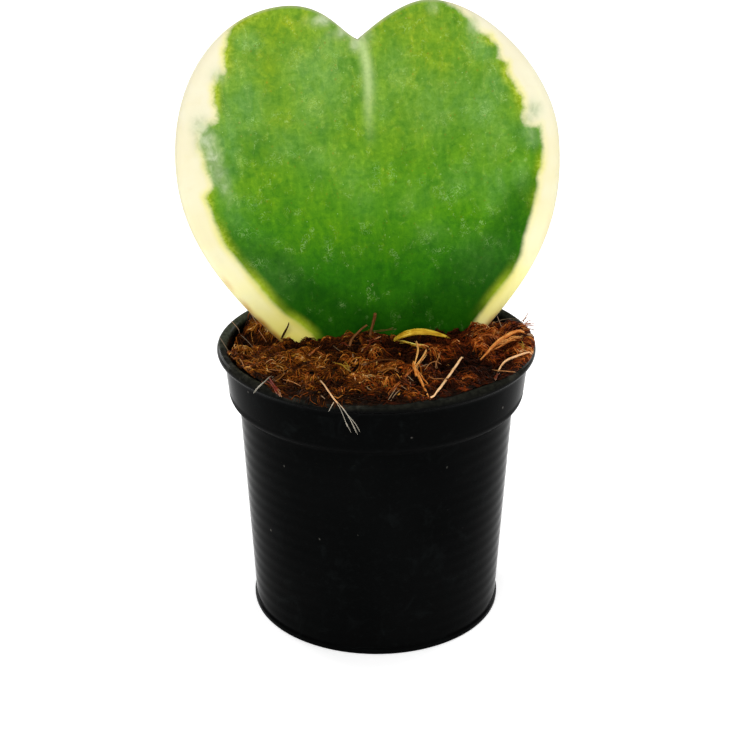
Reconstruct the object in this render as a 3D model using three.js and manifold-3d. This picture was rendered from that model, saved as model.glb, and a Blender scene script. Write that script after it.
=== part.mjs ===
// A single variegated heart-leaf hoya, rooted in coir mix in a small round nursery pot.
// Millimetres, +Z up, the front faces -Y. The origin is the centre of the pot's underside.
import * as THREE from "three";
import { mergeVertices } from "three/addons/utils/BufferGeometryUtils.js";
import Module from "manifold-3d";

const wasm = await Module();
wasm.setup();

// ---- driving dimensions ----

const GAP = 0.3; // clearance between pieces that touch

const POT = {
  height: 69,
  footRadius: 30.8,
  footBead: 0.4, // the foot stands this far proud of the body above it
  beadTop: 1.6,
  bodyTopRadius: 33.1,
  bodyTop: 54.4, // where the body steps out into the collar
  collarBottom: 57.4,
  collarBottomRadius: 35.5,
  collarTopRadius: 36.3,
  lipRadius: 1.25, // the rolled lip's section
  lipReach: 38, // radius of the pot at the lip, its widest
  wall: 1.1,
  floor: 2,
  recess: 0.8, // the underside between centre pad and foot ring is this much higher
  padRadius: 8,
  footRing: 4, // width of the ring that the pot stands on
  cornerRadius: 0.5,
  drainRadius: 2.6,
  drainCircle: 16.5,
  drainHoles: 8,
};

const LEAF = {
  notchHeight: 102.8, // above the leaf's point, along its midline
  widestHeight: 74.5,
  centreHeight: 62, // the rings of the surface close in on this point
  thickness: 4.4,
  marginThickness: 3.6,
  edge: 2.2, // how far in the rounded edge reaches
  dome: 2.6, // how far the margins fall back from the middle
  arch: 2.6, // how far the lobes lean back from the middle
  crease: { length: 25, depth: 0.8, width: 1.7 },
  pointDepth: 33, // the leaf's point lies this far under the pot's rim
};
// Each half of the heart: half width, the lobe's top, and the handles of its curves.
const RIGHT_HALF = {
  width: 45,
  lobe: [16, 109.8],
  flare: 40.5,
  rise: 17,
  shoulder: 12.5,
  dip: 6,
  notch: [2.1, 1.6],
  point: [10, 28.8],
};
const LEFT_HALF = {
  width: 46.1,
  lobe: [16.5, 112.2],
  flare: 28.4,
  rise: 21.6,
  shoulder: 16.5,
  dip: 10,
  notch: [3.6, 1.8],
  point: [17, 25.4],
};
const LEAF_PLACE = { x: 2, y: 6, pointX: 5 }; // where its plane meets the rim's plane
const LEAF_TURN = THREE.MathUtils.degToRad(4);
const LEAF_LEAN = THREE.MathUtils.degToRad(6);
const LEAF_ROLL = THREE.MathUtils.degToRad(6);

const PETIOLE = { radius: 2.3, top: 9, bottom: -8 };
const ROOTS = { count: 7, radius: 0.8, reach: 17, drop: 17 };

const SOIL = { level: -1.6, gapToWall: 0.4, lump: 0.45 }; // heights from the rim's plane
// Broad rises and dips of the soil: place, height and spread.
const MOUNDS = [
  { x: 0, y: -33, rise: 1.7, spread: 13 },
  { x: -19, y: -27, rise: 0.9, spread: 9 },
  { x: 19, y: -25, rise: 1.5, spread: 11 },
  { x: -4, y: -1, rise: 1.5, spread: 6 },
  { x: 23, y: 1, rise: 2.8, spread: 8 },
  { x: -23, y: 1, rise: -0.5, spread: 7 },
  { x: -13, y: 0, rise: -1.6, spread: 6 },
  { x: -31, y: 13, rise: 0.8, spread: 5 },
  { x: -34, y: 2, rise: -2.4, spread: 8 },
  { x: 34, y: 2, rise: -2.2, spread: 5 },
  { x: 27, y: 22, rise: -3.6, spread: 9 },
  { x: -6, y: 26, rise: -1.6, spread: 14 },
];
const FACETS = { pot: 48, drain: 12, leafCurve: 10, leafRings: 16, soil: 40, soilRings: 8 };
const FIBRES = { count: 78, radius: 0.5, shortest: 6, longest: 15, reach: 33.4, sunk: 0.9 };

// Directions that a strand's width can lie along.
const LEVEL = new THREE.Vector3(1, 0, 0);
const DEPTH = new THREE.Vector3(0, 1, 0);
const UPRIGHT = new THREE.Vector3(0, 0, 1);

// ---- helpers ----

function mulberry(seed) {
  let state = seed;
  return () => {
    state = (state + 0x6d2b79f5) | 0;
    let mixed = Math.imul(state ^ (state >>> 15), 1 | state);
    mixed = (mixed + Math.imul(mixed ^ (mixed >>> 7), 61 | mixed)) ^ mixed;
    return ((mixed ^ (mixed >>> 14)) >>> 0) / 4294967296;
  };
}

// A closed geometry as a solid that can be joined and cut.
function solidOf(geometry) {
  const bare = geometry.clone();
  bare.deleteAttribute("normal");
  bare.deleteAttribute("uv");
  const merged = mergeVertices(bare, 1e-4);
  const mesh = new wasm.Mesh({
    numProp: 3,
    vertProperties: merged.attributes.position.array,
    triVerts: new Uint32Array(merged.index.array),
  });
  return new wasm.Manifold(mesh);
}

function geometryOf(solid) {
  const mesh = solid.getMesh();
  const geometry = new THREE.BufferGeometry();
  geometry.setAttribute("position", new THREE.BufferAttribute(mesh.vertProperties, mesh.numProp));
  geometry.setIndex(new THREE.BufferAttribute(mesh.triVerts, 1));
  geometry.computeVertexNormals();
  return geometry;
}

// Keeps the outer skin of the largest piece: loose scraps go, sealed hollows fill.
function largestPiece(solid) {
  const pieces = solid.decompose();
  return pieces.reduce((best, piece) => (piece.volume() > best.volume() ? piece : best));
}

// Points on an arc from one angle to another, in degrees.
function arc(x, y, radius, from, to, steps) {
  const points = [];
  for (let i = 0; i <= steps; i += 1) {
    const angle = THREE.MathUtils.degToRad(from + ((to - from) * i) / steps);
    points.push(new THREE.Vector2(x + radius * Math.cos(angle), y + radius * Math.sin(angle)));
  }
  return points;
}

// A turned solid that stands on +Z.
function turned(profile, segments) {
  return new THREE.LatheGeometry(profile, segments).rotateX(Math.PI / 2);
}

// A capped cylinder whose rings are moved onto a curve through the points. Its section is
// width by thickness, the width lying along `across`, and the ends narrow to `tip` of that.
function strand(points, { width, thickness = width, across, sides, steps, tip = 1, grow = 0 }) {
  const curve = new THREE.CatmullRomCurve3(points);
  const tube = new THREE.CylinderGeometry(1, 1, 1, sides, steps);
  const position = tube.attributes.position;
  const length = curve.getLength();
  for (let i = 0; i < position.count; i += 1) {
    const along = 0.5 - position.getY(i);
    const middle = curve.getPoint(along);
    const tangent = curve.getTangent(along);
    const side = across.clone().addScaledVector(tangent, -across.dot(tangent)).normalize();
    const up = new THREE.Vector3().crossVectors(tangent, side);
    const narrowing = tip + (1 - tip) * Math.sqrt(Math.sin(Math.PI * along));
    middle.addScaledVector(side, position.getX(i) * ((width / 2) * narrowing + grow));
    middle.addScaledVector(up, position.getZ(i) * ((thickness / 2) * narrowing + grow));
    middle.addScaledVector(tangent, (2 * along - 1) * Math.min(grow, length / 4));
    position.setXYZ(i, middle.x, middle.y, middle.z);
  }
  return tube;
}

// ---- pot ----

function potProfile() {
  const { height, wall, footRadius, lipRadius } = POT;
  const lipX = POT.lipReach - lipRadius;
  const lipZ = height - lipRadius;
  const corner = POT.cornerRadius;
  const footInner = footRadius - corner - POT.footRing;
  const stepRadius = POT.collarBottomRadius - POT.bodyTopRadius;
  const stepZ = POT.collarBottom;
  return [
    new THREE.Vector2(0, 0),
    new THREE.Vector2(POT.padRadius, 0),
    new THREE.Vector2(POT.padRadius + POT.recess, POT.recess),
    new THREE.Vector2(footInner - POT.recess, POT.recess),
    new THREE.Vector2(footInner, 0),
    ...arc(footRadius - corner, corner, corner, -90, 0, 2),
    new THREE.Vector2(footRadius, POT.beadTop - POT.footBead),
    new THREE.Vector2(footRadius - POT.footBead, POT.beadTop),
    new THREE.Vector2(POT.bodyTopRadius, POT.bodyTop),
    ...arc(POT.collarBottomRadius - stepRadius, stepZ, stepRadius, -50, 0, 3),
    new THREE.Vector2(POT.collarTopRadius, lipZ - lipRadius),
    ...arc(lipX, lipZ, lipRadius, -60, 180, 7),
    new THREE.Vector2(POT.collarBottomRadius - wall, stepZ + wall / 2),
    new THREE.Vector2(POT.bodyTopRadius - wall, POT.bodyTop + wall),
    new THREE.Vector2(footRadius - wall, POT.floor + 1),
    new THREE.Vector2(footRadius - wall - 1, POT.floor),
    new THREE.Vector2(0, POT.floor),
  ];
}

function makePot() {
  let pot = solidOf(turned(potProfile(), FACETS.pot));
  for (let i = 0; i < POT.drainHoles; i += 1) {
    const angle = (2 * Math.PI * (i + 0.5)) / POT.drainHoles;
    const hole = new THREE.CylinderGeometry(POT.drainRadius, POT.drainRadius, 4 * POT.floor, FACETS.drain);
    hole.rotateX(Math.PI / 2);
    hole.translate(POT.drainCircle * Math.cos(angle), POT.drainCircle * Math.sin(angle), 0);
    pot = pot.subtract(solidOf(hole));
  }
  return pot;
}

// ---- leaf: x across, z up from its point, y towards its back ----

function halfOutline(half, way) {
  const at = (x, z) => new THREE.Vector2(way * x, z);
  const point = at(0, 0);
  const widest = at(half.width, LEAF.widestHeight);
  const [lobeX, lobeZ] = half.lobe;
  const lobe = at(lobeX, lobeZ);
  const notch = at(0, LEAF.notchHeight);
  const curves = [
    [point, at(...half.point), at(half.width, LEAF.widestHeight - half.flare), widest],
    [widest, at(half.width, LEAF.widestHeight + half.rise), at(lobeX + half.shoulder, lobeZ), lobe],
    [lobe, at(lobeX - half.dip, lobeZ), at(half.notch[0], LEAF.notchHeight + half.notch[1]), notch],
  ];
  const steps = FACETS.leafCurve;
  return curves.flatMap((knots) => new THREE.CubicBezierCurve(...knots).getPoints(steps).slice(0, -1));
}

// From the point up the right side to the notch and down the left side.
function leafOutline() {
  const notch = new THREE.Vector2(0, LEAF.notchHeight);
  const left = halfOutline(LEFT_HALF, -1).slice(1).reverse();
  return [...halfOutline(RIGHT_HALF, 1), notch, ...left];
}

// The blade is a sphere pressed flat onto the outline: its equator is the leaf's edge and
// its poles lie on the front and the back, where the rings close in on the leaf's centre.
function bladeGeometry(grow) {
  const outline = leafOutline();
  const count = outline.length;
  const centre = new THREE.Vector2(0, LEAF.centreHeight);
  const blade = new THREE.SphereGeometry(1, count, FACETS.leafRings);
  const { position, uv } = blade.attributes;
  for (let i = 0; i < position.count; i += 1) {
    const towardsPole = Math.min(1, Math.abs(2 * uv.getY(i) - 1));
    const front = uv.getY(i) > 0.5 ? -1 : 1;
    const index = towardsPole === 1 ? 0 : Math.round(uv.getX(i) * count) % count;
    const edge = outline[index];
    const along = outline[(index + 1) % count].clone().sub(outline[(index + count - 1) % count]).normalize();
    const outward = edge.clone().sub(centre);
    const distance = outward.length();
    outward.divideScalar(distance);
    const square = Math.max(0.55, Math.abs(outward.cross(along)));
    const reach = distance + grow / square;
    const inward = distance * towardsPole ** 2;
    const flat = centre.clone().addScaledVector(outward, reach * (1 - inward / distance));
    const half = halfThickness(flat, (inward * square) / LEAF.edge, inward / distance, front) + grow;
    const depth = towardsPole < 1e-6 ? 0 : half;
    position.setXYZ(i, flat.x, front * depth + fallBack(flat.x, flat.y), flat.y);
  }
  return blade;
}

function halfThickness(flat, edgeShare, centreShare, front) {
  const full = THREE.MathUtils.lerp(LEAF.marginThickness, LEAF.thickness, Math.min(1, 2 * centreShare)) / 2;
  const near = 1 - Math.min(1, edgeShare);
  const { length, depth, width } = LEAF.crease;
  const below = LEAF.notchHeight - flat.y;
  const fade = front < 0 ? THREE.MathUtils.clamp(1 - below / length, 0, 1) : 0;
  return full * Math.sqrt(1 - near * near) - depth * fade * Math.exp(-((flat.x / width) ** 2));
}

function fallBack(x, z) {
  const across = x / LEFT_HALF.width;
  const up = (z - LEAF.centreHeight) / (LEFT_HALF.lobe[1] - LEAF.centreHeight);
  return LEAF.dome * across * across + LEAF.arch * up * up;
}

function rootPaths() {
  const random = mulberry(5);
  const crown = new THREE.Vector3(0, fallBack(0, PETIOLE.bottom), PETIOLE.bottom + 2.5);
  const paths = [];
  for (let i = 0; i < ROOTS.count; i += 1) {
    const angle = (2 * Math.PI * (i + 0.4 * random())) / ROOTS.count;
    const reach = ROOTS.reach * (0.55 + 0.45 * random());
    const drop = ROOTS.drop * (0.75 + 0.25 * random());
    const at = (share, fall) => {
      const turn = angle + 0.5 * share;
      const out = reach * share;
      return new THREE.Vector3(out * Math.cos(turn), out * Math.sin(turn), -drop * fall).add(crown);
    };
    paths.push([at(0, 0), at(0.35, 0.12), at(0.75, 0.4), at(1, 1)]);
  }
  return paths;
}

// The blade with the short stalk and the roots that grew from it, all one piece.
function makeLeaf(grow = 0) {
  const stalk = [PETIOLE.top, 0, PETIOLE.bottom].map((z) => new THREE.Vector3(0, fallBack(0, z), z));
  const stalkSection = { width: 2 * PETIOLE.radius, across: LEVEL, sides: 10, steps: 4, grow };
  const rootSection = { width: 2 * ROOTS.radius, across: UPRIGHT, sides: 4, steps: 4, grow };
  const parts = [solidOf(bladeGeometry(grow)), solidOf(strand(stalk, stalkSection))];
  for (const path of rootPaths()) {
    parts.push(solidOf(strand(path, rootSection)));
  }
  return largestPiece(wasm.Manifold.union(parts));
}

// ---- soil ----

function soilTop(x, y) {
  let height = POT.height + SOIL.level;
  for (const mound of MOUNDS) {
    const distance = Math.hypot(x - mound.x, y - mound.y) / mound.spread;
    height += mound.rise * Math.exp(-distance * distance);
  }
  const lumps = Math.sin(0.61 * x + 1.3) * Math.sin(0.53 * y - 0.4) + Math.sin(0.37 * x - 0.9 * y + 2.1);
  return height + SOIL.lump * lumps;
}

function soilPlug() {
  const gap = SOIL.gapToWall;
  const bottom = POT.floor + GAP;
  const surface = POT.height; // every ring at this height is then moved to the soil's top
  const edge = POT.collarBottomRadius - POT.wall - gap;
  const profile = [
    new THREE.Vector2(0, bottom),
    new THREE.Vector2(POT.footRadius - POT.wall - gap - 1.2, bottom),
    new THREE.Vector2(POT.footRadius - POT.wall - gap, bottom + 1.2),
    new THREE.Vector2(POT.bodyTopRadius - POT.wall - gap, POT.bodyTop + POT.wall),
    new THREE.Vector2(edge, POT.collarBottom + 1.5),
  ];
  for (let i = FACETS.soilRings; i >= 0; i -= 1) {
    profile.push(new THREE.Vector2((edge * i) / FACETS.soilRings, surface));
  }
  const plug = turned(profile, FACETS.soil);
  const position = plug.attributes.position;
  for (let i = 0; i < position.count; i += 1) {
    if (position.getZ(i) > surface - 1) {
      position.setZ(i, soilTop(position.getX(i), position.getY(i)));
    }
  }
  return plug;
}

// Coarse coir fibres that arch out of the soil and back in, clear of the leaf.
function coirFibres(leafSpace) {
  const random = mulberry(21);
  const fibres = [];
  const toLeaf = leafSpace.clone().invert();
  const meetsLeaf = (point) => {
    const local = point.clone().applyMatrix4(toLeaf);
    const halfWidth = 0.85 * local.z + 3;
    return Math.abs(local.y) < LEAF.thickness / 2 + 3 && Math.abs(local.x) < halfWidth;
  };
  while (fibres.length < FIBRES.count) {
    const angle = 2 * Math.PI * random();
    const radius = FIBRES.reach * Math.sqrt(random());
    const heading = 2 * Math.PI * random();
    const length = THREE.MathUtils.lerp(FIBRES.shortest, FIBRES.longest, random());
    const bow = length * (0.5 * random() - 0.25);
    const lift = 0.3 + 0.9 * random();
    const points = [-0.5, -0.22, 0.22, 0.5].map((share) => {
      const sideways = bow * (1 - 4 * share * share);
      const x = radius * Math.cos(angle) + length * share * Math.cos(heading) - sideways * Math.sin(heading);
      const y = radius * Math.sin(angle) + length * share * Math.sin(heading) + sideways * Math.cos(heading);
      const rise = Math.abs(share) < 0.4 ? lift : -FIBRES.sunk;
      return new THREE.Vector3(x, y, soilTop(x, y) + rise);
    });
    if (points.some((point) => Math.hypot(point.x, point.y) > FIBRES.reach || meetsLeaf(point))) {
      continue;
    }
    const across = new THREE.Vector3(-Math.sin(heading), Math.cos(heading), 0);
    fibres.push(strand(points, { width: 2 * FIBRES.radius, across, sides: 3, steps: 4, tip: 0.6 }));
  }
  return fibres;
}

// ---- loose husk, twigs and straws that lie on the soil with their ends in it ----

const HUSK = 0xc98f2e;
const SPLINTER = 0xb8742f;
const TWIG = 0x6b4526;
const STRAW = 0xd9b27a;

// Points are x, y and height above the pot's rim.
const LOOSE_BITS = [
  {
    name: "husk_curl",
    colour: HUSK,
    strands: [
      {
        width: 3,
        thickness: 1.1,
        across: DEPTH,
        points: [[3.8, -0.9, -1.6], [5.6, 0.2, 1], [10.4, 1, 2.5], [14.8, 1.2, 1.5], [18, 1, -0.9]],
      },
    ],
  },
  {
    name: "husk_splinter",
    colour: SPLINTER,
    strands: [
      {
        width: 1.1,
        thickness: 0.8,
        across: DEPTH,
        points: [[5.6, -4.6, -1.2], [7.2, -5.8, 0.7], [9.8, -7.3, 1], [12.3, -8.6, -0.9]],
      },
      {
        width: 1.6,
        thickness: 0.8,
        across: LEVEL,
        points: [[10.2, -7.4, 0.9], [9.4, -13, 0.9], [8.3, -20.5, 0.8], [7.6, -24, 0.7]],
      },
      {
        width: 0.9,
        thickness: 0.8,
        across: LEVEL,
        points: [[8.2, -22, 0.7], [5.6, -28, 0.8], [2.4, -34, -0.6]],
      },
      {
        width: 1.1,
        thickness: 0.8,
        across: LEVEL,
        points: [[8.1, -22, 0.7], [9.5, -28, 0.9], [11.4, -32.4, -0.6]],
      },
    ],
  },
  {
    name: "twig_bent",
    colour: TWIG,
    strands: [{ width: 1.3, across: DEPTH, points: [[-7, -1.8, -1.8], [-5, -1, 1], [-2.6, -0.4, 3.6]] }],
  },
  {
    name: "twig_stub",
    colour: TWIG,
    strands: [{ width: 1.2, across: DEPTH, points: [[-1.9, 0.2, -1.5], [-1.3, 0.4, 2.5], [-0.3, 0.6, 6.3]] }],
  },
  {
    name: "straw_long",
    colour: STRAW,
    strands: [
      {
        width: 0.8,
        across: LEVEL,
        points: [[20.4, -9.5, -0.6], [17.6, -18, 1.1], [14.4, -27, 1.2], [12.1, -33.4, 0.6]],
      },
    ],
  },
  {
    name: "straw_rim",
    colour: STRAW,
    strands: [
      {
        width: 0.8,
        across: LEVEL,
        points: [[27.6, -18.6, -1.4], [29.9, -16.4, 1.1], [32.6, -13.9, 1.5], [35.4, -10.9, 1.1]],
      },
    ],
  },
  {
    name: "root_arch",
    colour: SPLINTER,
    strands: [
      {
        width: 1.3,
        across: DEPTH,
        points: [[24, -14.2, -1], [27.3, -7.6, 1.5], [30.6, -0.8, 2], [33, 3.6, 0.8], [33.2, 5.6, -3.6]],
      },
    ],
  },
  {
    name: "strand_front",
    colour: STRAW,
    strands: [
      {
        width: 0.6,
        across: LEVEL,
        points: [
          [-12.8, -26.6, -1.2],
          [-10.6, -31.6, 1.2],
          [-8.5, -35.9, 0.9],
          [-7.5, -37.6, -0.1],
          [-6.4, -38.6, -2.6],
          [-4.6, -38.7, -6.5],
        ],
      },
    ],
  },
  {
    name: "strand_left",
    colour: STRAW,
    strands: [
      {
        width: 0.6,
        across: LEVEL,
        points: [[-22.4, -22.8, -1.4], [-24.6, -25.8, 0.9], [-26.3, -28.2, 0.9], [-28, -30.2, 0.1]],
      },
    ],
  },
];

function makeBit({ strands }, grow = 0) {
  const solids = strands.map(({ points, ...section }) => {
    const path = points.map(([x, y, z]) => new THREE.Vector3(x, y, POT.height + z));
    return solidOf(strand(path, { sides: 6, steps: 2 * points.length, tip: 0.5, grow, ...section }));
  });
  return largestPiece(wasm.Manifold.union(solids));
}

// ---- assembly ----

const plant = new THREE.Group();

function addPiece(name, solid, colour, roughness, parent = plant) {
  const material = new THREE.MeshStandardMaterial({ color: colour, roughness, metalness: 0 });
  const mesh = new THREE.Mesh(geometryOf(solid), material);
  mesh.name = name;
  parent.add(mesh);
}

// The leaf's seat: turned, leant back and rolled about the point where it meets the rim's plane.
const leafSeat = new THREE.Group();
const leafTurn = new THREE.Group();
leafTurn.position.set(LEAF_PLACE.x, LEAF_PLACE.y, POT.height);
leafTurn.rotation.set(-LEAF_LEAN, 0, LEAF_TURN, "ZXY");
leafSeat.position.set(LEAF_PLACE.pointX, 0, -LEAF.pointDepth);
leafSeat.rotation.y = -LEAF_ROLL;
leafTurn.add(leafSeat);
plant.add(leafTurn);
plant.updateMatrixWorld(true);

addPiece("pot", makePot(), 0x141516, 0.42);
addPiece("leaf", makeLeaf(), 0x5c9a2f, 0.45, leafSeat);

const leafRoom = solidOf(geometryOf(makeLeaf(GAP)).applyMatrix4(leafSeat.matrixWorld));
const soilParts = [solidOf(soilPlug()), ...coirFibres(leafSeat.matrixWorld).map(solidOf)];
let soil = wasm.Manifold.union(soilParts).subtract(leafRoom);
for (const bit of LOOSE_BITS) {
  soil = soil.subtract(makeBit(bit, GAP));
  addPiece(bit.name, makeBit(bit), bit.colour, 0.8);
}
addPiece("soil", largestPiece(soil), 0x5b3418, 0.95);

export default plant;
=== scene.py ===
"""A variegated heart-leaf hoya in a small black nursery pot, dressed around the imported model.

Lengths are in millimetres until a mesh is made: +Z up, the front faces -Y, and the origin is
the centre of the pot's underside.
"""

import math

import bpy
import numpy as np
from mathutils import Matrix, Vector, geometry


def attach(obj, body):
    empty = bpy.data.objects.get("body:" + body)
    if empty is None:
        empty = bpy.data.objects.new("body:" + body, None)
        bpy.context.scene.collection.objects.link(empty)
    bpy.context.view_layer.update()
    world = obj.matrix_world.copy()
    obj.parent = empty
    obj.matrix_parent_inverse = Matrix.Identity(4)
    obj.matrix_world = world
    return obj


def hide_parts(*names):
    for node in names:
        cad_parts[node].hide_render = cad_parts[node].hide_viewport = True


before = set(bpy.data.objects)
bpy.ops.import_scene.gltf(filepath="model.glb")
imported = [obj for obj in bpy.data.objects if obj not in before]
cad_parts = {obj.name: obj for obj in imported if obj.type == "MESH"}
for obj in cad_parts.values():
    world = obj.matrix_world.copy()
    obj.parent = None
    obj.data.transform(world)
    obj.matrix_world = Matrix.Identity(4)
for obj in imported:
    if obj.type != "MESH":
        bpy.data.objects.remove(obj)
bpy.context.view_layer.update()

MM = 0.001

# ---- camera ----

CAMERA_PLACE = (-0.0020, -0.351, 0.214)
CAMERA_TILT = math.radians(66.5)
SENSOR = 36.0
IMAGE_SIDE = 736
FOCAL_PIXELS = 1586


def make_camera():
    data = bpy.data.cameras.new("camera")
    data.sensor_width = SENSOR
    data.lens = SENSOR * FOCAL_PIXELS / IMAGE_SIDE
    camera = bpy.data.objects.new("camera", data)
    camera.location = CAMERA_PLACE
    camera.rotation_euler = (CAMERA_TILT, 0, 0)
    bpy.context.scene.collection.objects.link(camera)
    bpy.context.scene.camera = camera


make_camera()

# ---- the named sizes of the part ----

POT_HEIGHT = 69.0
FOOT_RADIUS = 30.8
FOOT_BEAD = 0.4
BEAD_TOP = 1.6
BODY_TOP_RADIUS = 33.1
BODY_TOP = 54.4
COLLAR_BOTTOM = 57.4
COLLAR_BOTTOM_RADIUS = 35.5
COLLAR_TOP_RADIUS = 36.3
LIP_RADIUS = 1.25
LIP_REACH = 38.0
WALL = 1.1
FLOOR = 2.0
RECESS = 0.8
PAD_RADIUS = 8.0
FOOT_RING = 4.0
CORNER = 0.5
DRAIN_RADIUS = 2.6
DRAIN_CIRCLE = 16.5
DRAIN_HOLES = 8

NOTCH_HEIGHT = 102.8
WIDEST_HEIGHT = 74.5
CENTRE_HEIGHT = 62.0
THICKNESS = 4.4
MARGIN_THICKNESS = 3.6
EDGE = 2.2
DOME = 2.6
ARCH = 2.6
CREASE_LENGTH = 25.0
CREASE_DEPTH = 0.8
CREASE_WIDTH = 1.7
POINT_DEPTH = 33.0
RIGHT_HALF = {
    "width": 45, "lobe": (16, 109.8), "flare": 40.5, "rise": 17, "shoulder": 12.5, "dip": 6,
    "notch": (2.1, 1.6), "point": (10, 28.8),
}
LEFT_HALF = {
    "width": 46.1, "lobe": (16.5, 112.2), "flare": 28.4, "rise": 21.6, "shoulder": 16.5, "dip": 10,
    "notch": (3.6, 1.8), "point": (17, 25.4),
}
LEAF_PLACE = (2, 6)
LEAF_POINT_X = 5
LEAF_TURN = math.radians(4)
LEAF_LEAN = math.radians(6)
LEAF_ROLL = math.radians(6)

SOIL_LEVEL = -1.6
SOIL_GAP = 0.4
SOIL_LUMP = 0.45
# x, y, rise and spread of the soil's broad rises and dips
MOUNDS = (
    (0, -33, 1.7, 13), (-19, -27, 0.9, 9), (19, -25, 1.5, 11), (-4, -1, 1.5, 6), (23, 1, 2.8, 8),
    (-23, 1, -0.5, 7), (-13, 0, -1.6, 6), (-31, 13, 0.8, 5), (-34, 2, -2.4, 8), (34, 2, -2.2, 5),
    (27, 22, -3.6, 9), (-6, 26, -1.6, 14),
)

LEAF_MATRIX = (
    Matrix.Translation((LEAF_PLACE[0], LEAF_PLACE[1], POT_HEIGHT))
    @ Matrix.Rotation(LEAF_TURN, 4, "Z")
    @ Matrix.Rotation(-LEAF_LEAN, 4, "X")
    @ Matrix.Translation((LEAF_POINT_X, 0, -POINT_DEPTH))
    @ Matrix.Rotation(-LEAF_ROLL, 4, "Y")
)
TO_LEAF = np.array(LEAF_MATRIX.inverted())
FROM_LEAF = np.array(LEAF_MATRIX)


def moved(points, matrix):
    """Points of any array shape (..., 3) through a 4 by 4 matrix."""
    return points @ matrix[:3, :3].T + matrix[:3, 3]


# ---- meshes ----


def add_mesh(name, vertices, faces, material, replaced, attributes=None, uv=None):
    """A smooth-shaded piece from millimetres, riding on the part's one body."""
    mesh = bpy.data.meshes.new(name)
    mesh.from_pydata(np.asarray(vertices, float) * MM, [], faces)
    mesh.update()
    for key, values in (attributes or {}).items():
        values = np.asarray(values, np.float32)
        kind, field = ("FLOAT_VECTOR", "vector") if values.ndim > 1 else ("FLOAT", "value")
        mesh.attributes.new(key, kind, "POINT").data.foreach_set(field, values.ravel())
    if uv is not None:
        corners = np.zeros(len(mesh.loops), np.int32)
        mesh.loops.foreach_get("vertex_index", corners)
        layer = mesh.uv_layers.new(name="OFBake")
        layer.data.foreach_set("uv", np.asarray(uv, np.float32)[corners].ravel())
    mesh.shade_smooth()
    mesh.materials.append(material)
    piece = bpy.data.objects.new(name, mesh)
    bpy.context.scene.collection.objects.link(piece)
    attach(piece, "root")
    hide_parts(*replaced)


def ring_faces(rings, count):
    """Quads between neighbouring closed rings of `count` vertices each."""
    ring, step = np.meshgrid(np.arange(rings - 1), np.arange(count), indexing="ij")
    ahead = (step + 1) % count
    near, far = ring * count, (ring + 1) * count
    return np.stack([near + step, near + ahead, far + ahead, far + step], axis=-1).reshape(-1, 4)


def turned(faces):
    """The same faces, looking the other way."""
    return [tuple(reversed(face)) for face in faces]


def joined(parts):
    """Many (vertices, faces, values...) parts as one."""
    start, faces = 0, []
    for vertices, part_faces, *_ in parts:
        faces.extend(tuple(start + corner for corner in face) for face in part_faces)
        start += len(vertices)
    columns = [np.concatenate(column) for column in zip(*(part[:1] + part[2:] for part in parts))]
    return columns[0], faces, *columns[1:]


def circle(radius, count, centre=(0, 0), start=0.0):
    turn = 2 * np.pi * (np.arange(count) + start) / count
    return np.array(centre) + radius * np.stack([np.cos(turn), np.sin(turn)], axis=-1)


# ---- smooth fields ----


class Field:
    """Value noise over a plane, from a seeded lattice that repeats after `side` cells."""

    def __init__(self, seed, cell, side=96):
        self.values = np.random.default_rng(seed).random((side, side)) * 2 - 1
        self.cell = cell
        self.side = side

    def at(self, x, y):
        x = np.asarray(x, float) / self.cell
        y = np.asarray(y, float) / self.cell
        column, row = np.floor(x).astype(int), np.floor(y).astype(int)
        across, up = x - column, y - row
        across = across * across * (3 - 2 * across)
        up = up * up * (3 - 2 * up)
        left, right = column % self.side, (column + 1) % self.side
        low, high = row % self.side, (row + 1) % self.side
        bottom = self.values[left, low] * (1 - across) + self.values[right, low] * across
        top = self.values[left, high] * (1 - across) + self.values[right, high] * across
        return bottom * (1 - up) + top * up


def smooth_step(low, high, values):
    share = np.clip((np.asarray(values, float) - low) / (high - low), 0, 1)
    return share * share * (3 - 2 * share)


def spots(x, y, table):
    """The soft spots of a table at x and y. A row is a place, two half widths and a strength."""
    for across, up, half_width, half_height, strength in table:
        yield strength * np.exp(-(((x - across) / half_width) ** 2) - ((y - up) / half_height) ** 2)


def strongest(x, y, table):
    """The strongest of a table's spots at x and y."""
    return np.maximum.reduce([*spots(x, y, table)])


# ---- shader nodes ----


def linear(level):
    level /= 255
    return level / 12.92 if level <= 0.04045 else ((level + 0.055) / 1.055) ** 2.4


def rgb(colour):
    """A screen colour of three levels from 0 to 255, as the four linear numbers of a socket."""
    if isinstance(colour, bpy.types.NodeSocket) or len(colour) == 4:
        return colour
    return (*(linear(level) for level in colour), 1.0)


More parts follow.
